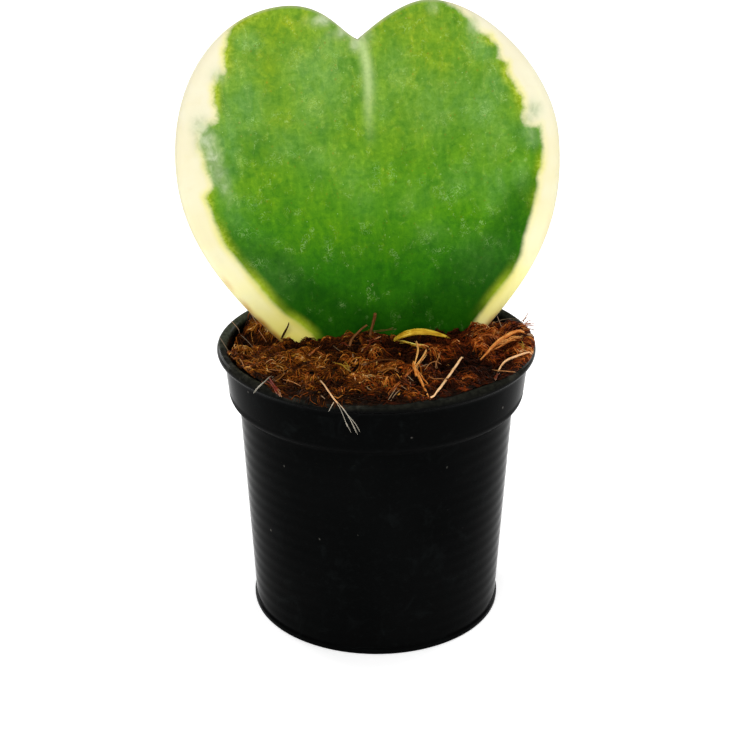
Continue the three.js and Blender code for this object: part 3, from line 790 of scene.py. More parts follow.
def half_outline(half, way):
    """Flank, shoulder and dip of one half of the heart, from the point up to the notch."""
    width, (lobe_x, lobe_z), (notch_x, notch_z) = half["width"], half["lobe"], half["notch"]
    points = np.array([
        (0, 0), half["point"], (width, WIDEST_HEIGHT - half["flare"]), (width, WIDEST_HEIGHT),
        (width, WIDEST_HEIGHT + half["rise"]), (lobe_x + half["shoulder"], lobe_z), (lobe_x, lobe_z),
        (lobe_x - half["dip"], lobe_z), (notch_x, NOTCH_HEIGHT + notch_z), (0, NOTCH_HEIGHT),
    ], float) * (way, 1)
    return np.concatenate([bezier(*points[first : first + 4]) for first in (0, 3, 6)])


def leaf_outline():
    """From the point up the right side to the notch and down the left side."""
    left = half_outline(LEFT_HALF, -1)[1:][::-1]
    return np.concatenate([half_outline(RIGHT_HALF, 1), [(0, NOTCH_HEIGHT)], left])


OUTLINE = leaf_outline()


def depth_inside(points, polygon):
    """How far each point of (n, 2) lies inside a closed polygon, negative outside it."""
    best = np.full(len(points), np.inf)
    crossings = np.zeros(len(points), int)
    for start, end in zip(polygon, np.roll(polygon, -1, axis=0)):
        along = end - start
        share = np.clip(((points - start) @ along) / max(along @ along, 1e-12), 0, 1)
        gap = points - (start + share[:, None] * along)
        best = np.minimum(best, np.hypot(gap[:, 0], gap[:, 1]))
        if start[1] != end[1]:
            spans = (start[1] > points[:, 1]) != (end[1] > points[:, 1])
            at = start[0] + (points[:, 1] - start[1]) * along[0] / along[1]
            crossings += spans & (points[:, 0] < at)
    return np.where(crossings % 2 == 1, best, -best)


def fall_back(x, z):
    across = x / LEFT_HALF["width"]
    up = (z - CENTRE_HEIGHT) / (LEFT_HALF["lobe"][1] - CENTRE_HEIGHT)
    return DOME * across**2 + ARCH * up**2


def crease_line(height):
    """How far the pale fold under the notch lies to the right of the midline."""
    return np.interp(height, (80, 86, 92, 97, 101, 103), (0.1, 0.4, 1.1, 1.3, 0.9, 0.0))


def blade_grid():
    """The pressed sphere of the leaf, ring after ring from the front's centre to the back's:
    its points, how far each lies from the rim, and 0 on the front or 1 on the back."""
    ahead = np.roll(OUTLINE, -1, axis=0) - np.roll(OUTLINE, 1, axis=0)
    ahead /= np.hypot(ahead[:, 0], ahead[:, 1])[:, None]
    outward = OUTLINE - (0, CENTRE_HEIGHT)
    distance = np.hypot(outward[:, 0], outward[:, 1])
    outward /= distance[:, None]
    square = np.maximum(0.55, np.abs(outward[:, 0] * ahead[:, 1] - outward[:, 1] * ahead[:, 0]))
    swell = Field(11, 9.0)
    ripple = Field(12, 22.0)
    rings, rims = [], []
    for offset in (np.arange(BLADE_LOOPS) - (BLADE_RINGS - 1)) / BLADE_RINGS:
        inward = distance * abs(offset) ** 2
        x, z = ((0, CENTRE_HEIGHT) + outward * (distance - inward)[:, None]).T
        centre_share = np.minimum(1, 2 * inward / distance)
        full = (MARGIN_THICKNESS + (THICKNESS - MARGIN_THICKNESS) * centre_share) / 2
        near = 1 - np.minimum(1, inward * square / EDGE)
        half = full * np.sqrt(1 - near**2)
        if offset <= 0:
            fade = np.clip(1 - (NOTCH_HEIGHT - z) / CREASE_LENGTH, 0, 1)
            half = CREASE_DEPTH * fade * np.exp(-(((x - crease_line(z)) / CREASE_WIDTH) ** 2)) - half
        uneven = (0.16 * swell.at(x, z) + 0.3 * ripple.at(x, z)) * np.minimum(1, inward / 4)
        rings.append(np.stack([x, half + fall_back(x, z) + uneven, z], axis=-1))
        rims.append(inward * square)
    sides = np.repeat(np.arange(BLADE_LOOPS) > BLADE_RINGS - 1, len(OUTLINE)).astype(float)
    return np.concatenate(rings), np.concatenate(rims), sides


def make_blade():
    count = len(OUTLINE)
    local, rim, side = blade_grid()
    faces = turned(ring_faces(BLADE_LOOPS, count).tolist())
    for start, step in ((0, 1), ((BLADE_LOOPS - 1) * count, -1)):
        pole, ring = len(local), slice(start, start + count)
        local = np.concatenate([local, [local[ring].mean(axis=0)]])
        rim = np.append(rim, rim[ring].mean())
        side = np.append(side, side[start])
        pairs = [(start + i, start + (i + 1) % count) for i in range(count)]
        faces.extend((*pair[::step], pole) for pair in pairs)
    flat = local[:, [0, 2]]
    x, z = flat.T
    # the green's two borders, joined well above the leaf
    border = np.concatenate([LEFT_BORDER, [(-19, 125), (19, 125)], RIGHT_BORDER[::-1]])
    crease = np.exp(-(((x - crease_line(z)) / 1.25) ** 2)) * smooth_step(76, 97, z) * 0.85
    attributes = {
        "place": np.stack([x, z, side], axis=-1),
        "green": depth_inside(flat, border),
        "rim": rim,
        "dark": smooth_step(-3, 3.5, np.interp(x, *np.transpose(DARK_EDGE)) - z),
        **{key: strongest(x, z, table) for key, table in PATCHES.items()},
        "crease": crease,
    }
    # these are on the front only
    for key in ("crease", "mark", "splash"):
        attributes[key] *= side < 0.5
    width = 2 * LEFT_HALF["width"] + 4
    uv = np.stack([(x / width + 0.5 + side) / 2, z / (LEFT_HALF["lobe"][1] + 2)], axis=-1)
    world = moved(local, FROM_LEAF)
    add_mesh("leaf_blade", world, faces, leaf_material(), ["leaf"], attributes, uv)


# ---- soil ----

SOIL_RINGS = 84
SOIL_SPOKES = 224
LUMPS = (Field(21, 5.0), Field(22, 2.4), Field(23, 1.0), Field(24, 0.5))
LUMP_HEIGHTS = (1.3, 1.0, 0.55, 0.25)
SOIL_EDGE = COLLAR_BOTTOM_RADIUS - WALL - SOIL_GAP
# Degrees round from +X and how far out the coir lies there, up onto the rim.
SPILL = (
    (2, 37.8), (10, 37.5), (16, 36), (22, SOIL_EDGE), (190, SOIL_EDGE), (194, 35.7), (205, 34.7),
    (211, 35), (215, 35.3), (225, 36.2), (233, 37.6), (251, 37.8), (264, 37.6), (270, 37.2), (278, 37),
    (292, 36.8), (305, 35.9), (312, 35.9), (318, 36.4), (325, 36.9), (341, 37.3), (352, 37.3),
    (362, 37.8),
)
# Deep gaps between the clumps, where the coir's tone is also darkened as painted shade: x, y, half width,
# half depth and fall.
HOLLOWS = (
    (-9.8, -4.6, 3.2, 2.0, 1.3), (-13, -0.6, 5.0, 2.4, 1.2), (18, 3, 4.0, 2.6, 1.3),
    (7.5, 1.2, 4.5, 1.6, 1.6), (-0.4, -11, 2.6, 1.6, 1.0), (14.7, -12.9, 2.4, 2.2, 1.0),
    (-27, -8, 2.6, 1.6, 0.9), (-17, -14, 2.2, 1.6, 0.9), (22, -9, 3.0, 1.6, 1.0),
    (-9, -24, 2.4, 1.5, 0.9), (16, -24, 2.8, 1.6, 0.9), (-31, 5, 2.0, 3.0, 0.8),
)
# Paler and darker parts of the coir: x, y, half width, half depth and shift.
SHADES = (
    (21, -15, 8, 5, -0.14), (0, -34, 26, 4, -0.08), (29, 4, 6, 6, 0.3), (17, 2, 6, 5, 0.14),
    (23, -3, 5, 4, 0.28), (-28, 2, 7, 7, 0.24), (-31, -10, 5, 6, 0.14), (-18, -10, 8, 6, 0.06),
    (1, -12, 9, 6, 0.2), (-5, -20, 8, 6, 0.15), (8, -28, 6, 4, -0.08), (19, -9, 5, 4, -0.12),
    (32, -8, 6, 5, 0.24),
)


def soil_top(x, y):
    """The part's own soil surface, as a height over the pot's foot."""
    height = np.full(np.shape(x), POT_HEIGHT + SOIL_LEVEL)
    for mound_x, mound_y, rise, spread in MOUNDS:
        reach = np.hypot(x - mound_x, y - mound_y) / spread
        height = height + rise * np.exp(-(reach**2))
    waves = np.sin(0.61 * x + 1.3) * np.sin(0.53 * y - 0.4) + np.sin(0.37 * x - 0.9 * y + 2.1)
    return height + SOIL_LUMP * waves


def spill_reach(x, y):
    turn = np.degrees(np.arctan2(y, x)) % 360
    return np.interp(turn, *np.transpose(SPILL), period=360)


def lip_top(out):
    """The height of the rolled rim's upper side at a distance from the pot's axis."""
    over = np.clip(out - (LIP_REACH - LIP_RADIUS), 0, LIP_RADIUS)
    return POT_HEIGHT - LIP_RADIUS + np.sqrt(LIP_RADIUS**2 - over**2)


def relief(x, y, fields, rises):
    height = np.zeros(np.shape(x))
    for field, rise in zip(fields, rises):
        height = height + rise * field.at(x + 60, y + 60)
    return height


def clumped_top(x, y):
    """The part's surface with the clumps that the fibres lie over, drawn up onto the rim."""
    height = soil_top(x, y) + relief(x, y, LUMPS[:2], LUMP_HEIGHTS[:2]) - strongest(x, y, HOLLOWS)
    out = np.hypot(x, y)
    share = smooth_step(0, 1, spill_reach(x, y) - SOIL_EDGE) * smooth_step(31, 34.8, out) * 0.9
    return height + share * (lip_top(out) + 0.35 - height)


def soil_surface(x, y):
    """The crumbled surface that shows between the fibres."""
    out = np.hypot(x, y)
    height = clumped_top(x, y) - 0.6 + relief(x, y, LUMPS[2:], LUMP_HEIGHTS[2:])
    return np.where(out > SOIL_EDGE + 0.5, np.maximum(height, lip_top(out) + 0.12), height)


def make_soil():
    count = SOIL_SPOKES
    across, along = circle(1, count).T
    reach = spill_reach(across, along)
    radii = np.linspace(0, 1, SOIL_RINGS + 1)[1:, None] * reach
    x, y = radii * across, radii * along
    top = soil_surface(x, y)
    spilled = reach > SOIL_EDGE + 0.2
    lip = np.minimum(reach, LIP_REACH - LIP_RADIUS)
    foot = FOOT_RADIUS - WALL - SOIL_GAP
    levels = [
        (reach, np.where(spilled, lip_top(reach) + 0.04, top[-1] - 0.1)),
        (lip, np.where(spilled, lip_top(lip) + 0.04, top[-1] - 0.2)),
        (SOIL_EDGE, np.where(spilled, POT_HEIGHT - 0.35, top[-1] - 0.4)),
        (SOIL_EDGE, COLLAR_BOTTOM + 1.5),
        (BODY_TOP_RADIUS - WALL - SOIL_GAP, BODY_TOP + WALL),
        (foot, FLOOR + 1.5),
        (foot - 1.2, FLOOR + 0.35),
    ]
    for radius in (share * (foot - 1.2) for share in (0.8, 0.6, 0.4, 0.2, 0.05)):
        levels.append((radius, FLOOR + 0.35 + 0.2 * (1 + LUMPS[1].at(radius * across, radius * along))))
    rings = [np.stack(ring, axis=-1) for ring in zip(x, y, top)]
    for radius, height in levels:
        rings.append(np.stack([radius * across, radius * along, np.broadcast_to(height, count)], axis=-1))
    faces = turned(ring_faces(len(rings), count).tolist())
    crown, last = len(rings) * count, (len(rings) - 1) * count
    faces.extend((crown, i, (i + 1) % count) for i in range(count))
    faces.extend((crown + 1, last + (i + 1) % count, last + i) for i in range(count))
    poles = [(0, 0, float(soil_surface(np.array(0.0), np.array(0.0)))), (0, 0, FLOOR + 0.5)]
    add_mesh("soil_bed", np.concatenate([*rings, poles]), faces, soil_material(), ["soil"])


# ---- fibres ----

FIBRE_SIDES = 3
FIBRE_STEPS = 7
BUNDLE = 6
CRUMBS = 5600
CRUMB_SEED = 57
# name, seed, count, length, radius, lift, sink, and the least and greatest tone
FIBRE_BATCHES = (
    ("coir_under", 51, 3600, (2, 6), (0.15, 0.36), (-0.2, 0.5), 0.9, 0.0, 0.62),
    ("coir_mat", 52, 4800, (1.8, 7), (0.1, 0.24), (0.1, 0.9), 1.2, 0.04, 0.88),
    ("coir_top", 53, 4800, (2, 9), (0.07, 0.16), (0.2, 1.3), 1.4, 0.08, 1.0),
)


def clear_of_leaf(points, margin):
    """Pushes points that fall inside the leaf out to its nearer face."""
    local = moved(points, TO_LEAF)
    lower = OUTLINE[: OUTLINE_STEPS + 1]
    half_width = np.interp(local[..., 2], lower[:, 1], lower[:, 0]) + 1.0
    middle = fall_back(local[..., 0], local[..., 2])
    depth = local[..., 1] - middle
    limit = THICKNESS / 2 + margin
    stuck = (np.abs(depth) < limit) & (np.abs(local[..., 0]) < half_width)
    local[..., 1] = np.where(stuck, np.where(depth < 0, -limit, limit) + middle, local[..., 1])
    return moved(local, FROM_LEAF)


def tube_mesh(paths, radii, sides):
    """Vertices and faces of many tubes at once. Paths are (n, k, 3) and radii (n, k)."""
    count, steps, _ = paths.shape
    tangent = np.gradient(paths, axis=1)
    tangent /= np.linalg.norm(tangent, axis=-1, keepdims=True) + 1e-9
    upright = np.abs(tangent[:, :, 2]).mean(axis=1) > 0.85
    reference = np.where(upright[:, None, None], (1.0, 0.0, 0.0), (0.0, 0.0, 1.0))
    side = np.cross(tangent, reference)
    side /= np.linalg.norm(side, axis=-1, keepdims=True) + 1e-9
    lift = np.cross(side, tangent)
    angles = (2 * np.pi * np.arange(sides) / sides + 0.5)[:, None]
    ring = side[:, :, None] * np.cos(angles) + lift[:, :, None] * np.sin(angles)
    vertices = paths[:, :, None] + ring * radii[:, :, None, None]
    offsets = (np.arange(count) * steps * sides)[:, None]
    quads = (ring_faces(steps, sides)[None] + offsets[..., None]).reshape(-1, 4)
    ends = np.stack([np.arange(sides)[::-1], (steps - 1) * sides + np.arange(sides)])
    caps = (ends[:, None] + offsets).reshape(-1, sides)
    return vertices.reshape(-1, 3), quads.tolist() + caps.tolist()


def scattered(random, count):
    """Random places spread evenly over the soil, and their distances from the pot's axis."""
    turn = random.random(count) * 2 * np.pi
    out = spill_reach(np.cos(turn), np.sin(turn)) * np.sqrt(random.random(count))
    return out * np.cos(turn), out * np.sin(turn), out


def lying_fibres(seed, count, length, radius, lift, sink):
    """Fibres in small bundles that arch along the soil, their ends tucked in."""
    random = np.random.default_rng(seed)
    groups = count // BUNDLE

    def each(values):
        return np.repeat(values, BUNDLE)

    centre_x, centre_y, _ = scattered(random, groups)
    heading = Field(31, 8.0).at(centre_x + 50, centre_y + 50) * 1.3 + random.normal(size=groups) * 0.55
    bend = random.normal(size=groups) * 0.09
    x = each(centre_x) + 0.6 * random.normal(size=count)
    y = each(centre_y) + 0.6 * random.normal(size=count)
    aim = (each(heading) + 0.28 * random.normal(size=count))[:, None]
    share = (each(random.random(groups)) * random.random(count)) ** 0.9
    size = length[0] + (length[1] - length[0]) * share
    bow = size * (each(bend) + 0.045 * random.normal(size=count))
    twist = size * random.normal(size=count) * 0.03
    t = np.linspace(-0.5, 0.5, FIBRE_STEPS)[None, :]
    along = size[:, None] * t
    sideways = bow[:, None] * (1 - 4 * t * t) + twist[:, None] * np.sin(3 * np.pi * t)
    px = x[:, None] + along * np.cos(aim) - sideways * np.sin(aim)
    py = y[:, None] + along * np.sin(aim) + sideways * np.cos(aim)
    limit = np.maximum(spill_reach(px, py) + 0.3, SOIL_EDGE + 0.9)
    over = np.maximum(np.hypot(px, py), limit) / limit
    px, py = px / over, py / over
    share = (0.5 * each(random.random(groups)) + 0.5 * random.random(count)) ** 2
    rise = lift[0] + (lift[1] - lift[0]) * share
    shift = random.random(count)[:, None] * 0.4 - 0.2
    arch = np.clip(np.cos(np.pi * (t + shift * 0.5)), 0, 1)
    distance = np.hypot(px, py)
    rise = rise[:, None] * (1 - 0.6 * smooth_step(33, 36, distance))
    pz = clumped_top(px, py) + rise * arch - sink * (1 - arch) * random.random(count)[:, None]
    pz = pz + 0.2 * LUMPS[2].at(px + 60, py + 60)
    pz = np.where(distance > SOIL_EDGE + 1.2, np.maximum(pz, lip_top(distance) + 0.1), pz)
    paths = clear_of_leaf(np.stack([px, py, pz], axis=-1), 0.15)
    thick = radius[0] + (radius[1] - radius[0]) * random.random(count) ** 2.2
    shade = each(random.random(groups))
    return paths, thick[:, None] * (1 - 0.65 * np.abs(2 * t) ** 3), shade, random


def fibre_colours(x, y, shade, random, low, high):
    """Golden on the left, rusty on the right, with painted light and shade: paler on the clumps and
    darker between them.
    """
    raised = relief(x, y, LUMPS[:2], (0.6, 0.55)) - 0.8 * strongest(x, y, HOLLOWS)
    clump = 0.5 + 0.5 * Field(41, 4.0).at(x + 50, y + 50)
    tone = 0.35 * clump + 0.35 * shade + 0.5 * random.random(len(x)) ** 1.6
    # painted light and shade: tone lowered in the hollows and raised on the clumps
    tone = low + (high - low) * np.clip(tone * (0.34 + 0.76 * smooth_step(-0.5, 0.4, raised)), 0, 1)
    for shift in spots(x, y, SHADES):
        tone = tone + shift
    tone = np.minimum(tone, 0.9 + 0.1 * (tone - 0.9))
    rust = smooth_step(-10, 18, x + 6 * random.normal(size=len(x)))
    rust = np.clip(0.46 + 0.5 * rust + 0.2 * random.normal(size=len(x)), 0, 1)
    return tone, rust


def make_fibres(material):
    for name, seed, count, length, radius, lift, sink, low, high in FIBRE_BATCHES:
        paths, radii, shade, random = lying_fibres(seed, count, length, radius, lift, sink)
        middle = paths[:, FIBRE_STEPS // 2]
        colours = fibre_colours(middle[:, 0], middle[:, 1], shade, random, low, high)
        vertices, faces = tube_mesh(paths, radii, FIBRE_SIDES)
        tone, rust = np.repeat(colours, FIBRE_STEPS * FIBRE_SIDES, axis=1)
        along = np.tile(np.repeat(np.linspace(0, 1, FIBRE_STEPS), FIBRE_SIDES), count)
        uv = np.stack([0.02 + 0.96 * tone, 0.02 + 0.96 * along], axis=-1)
        attributes = {"tone": tone, "rust": rust}
        add_mesh(name, vertices, faces, material, ["soil"], attributes, uv)


def make_crumbs(material):
    """Grains of peat and broken flakes of husk between the fibres."""
    random = np.random.default_rng(CRUMB_SEED)
    x, y, out = scattered(random, CRUMBS)
    size = 0.16 + 0.5 * random.random(CRUMBS) ** 2
    z = clumped_top(x, y) + 0.7 * random.random(CRUMBS) - 0.1
    z = np.where(out > SOIL_EDGE + 1.2, np.maximum(z, lip_top(out) + 0.2), z)
    corners = np.array([(1, 0, 0), (0, 1, 0), (-1, 0, 0), (0, -1, 0), (0, 0, 1), (0, 0, -1)], float)
    shapes = corners[None] * (0.45 + 0.9 * random.random((CRUMBS, 6, 1)))
    sx, sy, sz = np.moveaxis(shapes * size[:, None, None] * np.array([1.5, 0.75, 0.5]), -1, 0)
    spin, tip = (random.random((2, CRUMBS)) * 2 * np.pi)[..., None]
    tip = 0.5 * np.sin(tip)
    sx, sz = sx * np.cos(tip) - sz * np.sin(tip), sx * np.sin(tip) + sz * np.cos(tip)
    sx, sy = sx * np.cos(spin) - sy * np.sin(spin), sx * np.sin(spin) + sy * np.cos(spin)
    places = clear_of_leaf(np.stack([x, y, z], axis=-1), 0.4)
    vertices = (places[:, None] + np.stack([sx, sy, sz], axis=-1)).reshape(-1, 3)
    grain = [(i, (i + 1) % 4, 4) for i in range(4)] + [((i + 1) % 4, i, 5) for i in range(4)]
    faces = (np.array(grain)[None] + 6 * np.arange(CRUMBS)[:, None, None]).reshape(-1, 3).tolist()
    tone, rust = fibre_colours(x, y, random.random(CRUMBS), random, 0.0, 0.75)
    tone = np.where(random.random(CRUMBS) > 0.985, 0.85, tone)
    tone, rust = np.repeat((tone, rust), 6, axis=1)
    row = np.tile([0.1, 0.2, 0.3, 0.4, 0.6, 0.8], CRUMBS)
    uv = np.stack([0.02 + 0.94 * np.clip(tone, 0, 1), row], axis=-1)
    attributes = {"tone": tone, "rust": rust}
    add_mesh("coir_crumbs", vertices, faces, material, ["soil"], attributes, uv)


# ---- loose bits ----

CURVE_STEPS = 16
STRIP_SIDES = 14
STRIP_SEED = 60
HUSK_HOLLOW = 0.3
RUN_STEPS = 20
RUN_SIDES = 5
RUN_SEED = 160
ACCENT_SEED = 300
ACCENT_SLIMNESS = 0.72
DEPTH, LEVEL = (0, 1, 0), (1, 0, 0)
# How finely each look is streaked, how rough it is, and its colours from dark to pale.
LOOKS = {
    "husk_gold": (1.0, 0.5, (
        (0.26, (92, 50, 6)), (0.42, (170, 116, 16)), (0.54, (226, 184, 42)), (0.68, (252, 236, 120)),
    )),
    "husk_splinter_orange": (1.2, 0.6, (
        (0.24, (60, 24, 6)), (0.38, (146, 68, 14)), (0.5, (214, 118, 36)), (0.64, (252, 200, 118)),
    )),
    "twig_bark": (0.8, 0.75, (
        (0.24, (38, 19, 7)), (0.42, (88, 50, 20)), (0.58, (134, 84, 40)), (0.76, (196, 146, 88)),
    )),
    "straw_pale": (1.5, 0.5, (
        (0.22, (132, 70, 28)), (0.38, (210, 136, 76)), (0.52, (248, 194, 136)), (0.68, (255, 232, 196)),
    )),
}
# Each bit: its slot, its look, its flattened strips (widths, thicknesses, the widths' direction and
# points) and its runs of fibres (count, spread, width and points). Heights are from the rim's plane.
LOOSE_BITS = {
    "husk_curl": (
        "husk", "husk_gold", (
            (
                (1.2, 2, 2.6, 2.8, 2.7, 2.3, 1.8, 1.1, 0.4), (0.6, 0.8, 1, 1.1, 1, 0.8, 0.7, 0.5, 0.3),
                DEPTH, (
                    (4.4, 1.3, -0.7), (5.2, 0.2, 0.4), (6.6, -0.4, 1.4), (8.5, -0.5, 2.1),
                    (10.4, -0.7, 2.3), (12.6, -0.5, 2.1), (14.7, -0.1, 1.4), (16.7, 0.5, 0.4),
                    (17.9, 1.3, -0.6),
                ),
            ),
        ), (
            (
                5, 0.18, 0.22, (
                    (4.5, 1.3, -1.1), (5.9, -0.4, -0.4), (7.3, -2.5, 0.1), (8.7, -3.9, 0.3),
                    (10.1, -4.6, 0.3), (11.3, -4.7, 0.1), (12.2, -5, -0.4),
                ),
            ),
        ),
    ),
    "husk_splinter": (
        "husk_orange", "husk_splinter_orange", (
            (
                (0.4, 0.7, 0.8, 0.5), (0.4, 0.5, 0.6, 0.4), LEVEL,
                ((8.5, -15.2, 0.6), (8.5, -18, 0.7), (8.8, -20.6, 0.6), (8.9, -23.2, 0.5)),
            ), (
                (0.4, 0.6, 0.7, 0.55, 0.3), (0.4, 0.5, 0.6, 0.5, 0.3), LEVEL, (
                    (8.8, -19.1, 0.7), (9.3, -22.5, 0.7), (9.8, -25.9, 0.7), (10.5, -30.4, 0.7),
                    (11.4, -34.3, 0.1),
                ),
            ),
        ), (
            (
                4, 0.14, 0.22, (
                    (8.7, -3.6, 1.2), (9.3, -5.6, 1), (9.7, -8.4, 0.9), (9.3, -12.4, 0.8),
                    (8.7, -16.3, 0.7), (8.1, -19.5, 0.6),
                ),
            ), (
                5, 0.2, 0.24, (
                    (12.1, -6.6, 0.4), (11.4, -10.1, 0.6), (10.4, -13.9, 0.7), (9.3, -17.4, 0.7),
                    (8.7, -20, 0.6),
                ),
            ),
            (4, 0.22, 0.24, ((9.1, -4.3, 0.7), (10, -6.1, 0.8), (11.2, -6.4, 0.7), (12.2, -7.5, 0.4))), (
                4, 0.13, 0.22, (
                    (8.7, -18.2, 0.8), (7.5, -21.4, 0.8), (6.1, -25.2, 0.9), (4.7, -28.8, 1),
                    (3.3, -32.5, 1), (2.2, -35.8, 0.8),
                ),
            ),
            (3, 0.12, 0.22, ((9.2, -20, 0.6), (10.2, -24, 0.6), (11.2, -27.4, 0.5), (12, -30.5, 0.1))),
        ),
    ),
    "root_arch": (
        "husk_orange", "husk_splinter_orange", (
            (
                (0.3, 0.5, 0.7, 0.9, 1.1, 1.1, 0.9, 0.5), (0.3, 0.4, 0.6, 0.8, 0.9, 0.9, 0.8, 0.5),
                DEPTH, (
                    (24, -14, 0.6), (25.4, -11.7, 1), (27, -8.5, 1.3), (28.9, -5.2, 1.6),
                    (30.5, -3.2, 1.8), (32.3, -1.2, 2), (33.8, 0, 2), (35.3, 0.5, 1.5),
                ),
            ),
        ), (
            (
                9, 0.42, 0.22, (
                    (27.1, -7.7, 0.6), (29.1, -6, 0.9), (31.2, -4, 1.1), (33.2, -2.4, 1.2),
                    (35.2, -1, 0.9),
                ),
            ), (
                5, 0.22, 0.22, (
                    (27.2, -8, 1.2), (29.6, -4.6, 1.7), (32.1, -1.6, 2.1), (34.2, 0.3, 1.9),
                    (36, 0.6, 0.9),
                ),
            ),
        ),
    ),
    "twig_bent": (
        "twig", "twig_bark", (
            (
                (0.8, 0.8, 0.7, 0.6, 0.4), (0.7, 0.7, 0.6, 0.5, 0.4), DEPTH, (
                    (-6.6, -3.2, -1.2), (-5.8, -1.6, 0.5), (-4.6, -0.8, 1.7), (-3.4, -0.1, 2.7),
                    (-2.2, 0.4, 3.4),
                ),
            ),
        ), (),
    ),
    "twig_stub": (
        "twig", "twig_bark", (
            (
                (0.8, 0.65, 0.6, 0.75, 0.8), (0.8, 0.65, 0.6, 0.75, 0.8), DEPTH, (
                    (-1.6, 1.2, -0.9), (-1.3, 1.6, 1.3), (-0.8, 1.9, 3.2), (-0.4, 1.8, 4.9),
                    (-0.3, 1.7, 5.8),
                ),
            ),
        ), (),
    ),
    "straw_long": (
        "straw", "straw_pale", (
            (
                (0.4, 0.55, 0.6, 0.6, 0.55, 0.35), (0.4, 0.5, 0.5, 0.5, 0.5, 0.35), LEVEL, (
                    (20.1, -10.8, -0.4), (19.6, -12.6, 0.3), (18, -18.3, 0.7), (16.1, -24.7, 1),
                    (14.3, -30.1, 1.1), (13.2, -33, 1.1), (12.5, -34.7, 0.9), (11.7, -35.3, 0.7),
                ),
            ),
        ), (),
    ),
    "straw_rim": (
        "straw", "straw_pale", (
            (
                (0.35, 0.45, 0.55, 0.55, 0.45, 0.3), (0.35, 0.45, 0.5, 0.5, 0.45, 0.3), LEVEL, (
                    (27.6, -19.7, -0.5), (27.9, -19.1, 0.2), (29, -16.8, 0.8), (30.3, -15.2, 1.1),
                    (32, -13.9, 1.3), (33.7, -12.5, 1.3), (35.5, -10.6, 1), (36.1, -10.8, 0.6),
                ),
            ),
        ), (),
    ),
    "strand_front": (
        "straw", "straw_pale", (
            (
                (0.2, 0.32, 0.38, 0.32), (0.2, 0.32, 0.34, 0.3), LEVEL, (
                    (-13.4, -21.5, -0.5), (-12.6, -25.2, 0.1), (-11.8, -28.1, 0.5), (-10.4, -33.5, 0.9),
                    (-9.2, -36.7, 0.7), (-8.6, -37.2, 0.3),
                ),
            ),
        ), (
            (
                1, 0.0, 0.17, (
                    (-9, -36.9, 0.5), (-7.9, -37.8, -1.2), (-7, -38.4, -3.4), (-6.6, -38.4, -4.4),
                    (-5.9, -38.1, -6), (-5.7, -38, -6.5),
                ),
            ), (
                2, 0.05, 0.15, (
                    (-9, -36.9, 0.5), (-7.4, -37.9, -0.8), (-6.1, -38.5, -2.7), (-5.1, -38.6, -4.8),
                    (-4.4, -38.4, -6.8), (-4.2, -38.2, -7.6),
                ),
            ), (
                1, 0.0, 0.15, (
                    (-7.5, -37.9, -0.9), (-6.1, -38.5, -2.4), (-4.8, -38.7, -4), (-4, -38.7, -5.5),
                    (-3.8, -38.5, -6.1),
                ),
            ), (1, 0.0, 0.15, ((-9.4, -36.9, 0.4), (-10, -37.2, -0.6), (-10.6, -37.3, -1.8))),
            (1, 0.0, 0.4, ((-6.8, -38.3, -3.9), (-6.6, -38.5, -4.4), (-6.4, -38.4, -4.9))),
        ),
    ),
    "strand_left": (
        "straw", "straw_pale", (), (
            (
                2, 0.06, 0.17, (
                    (-23, -20.6, -0.6), (-24.3, -23.9, 0.4), (-25, -27, 0.9), (-25.9, -28.5, 0.7),
                    (-26.9, -27.9, -0.6), (-27.9, -27.2, -2.4),
                ),
            ),
        ),
    ),
}
TINTS = {
    "white": (176, 142, 110),
    "grey": (118, 98, 74),
    "red": (120, 38, 18),
    "straw": (190, 128, 76),
    "gold": (170, 132, 40),
    "amber": (160, 98, 36),
    "orange": (176, 96, 42),
    "rust": (112, 46, 22),
    "brown": (96, 54, 20),
    "olive": (92, 80, 28),
    "dark": (62, 38, 14),
}
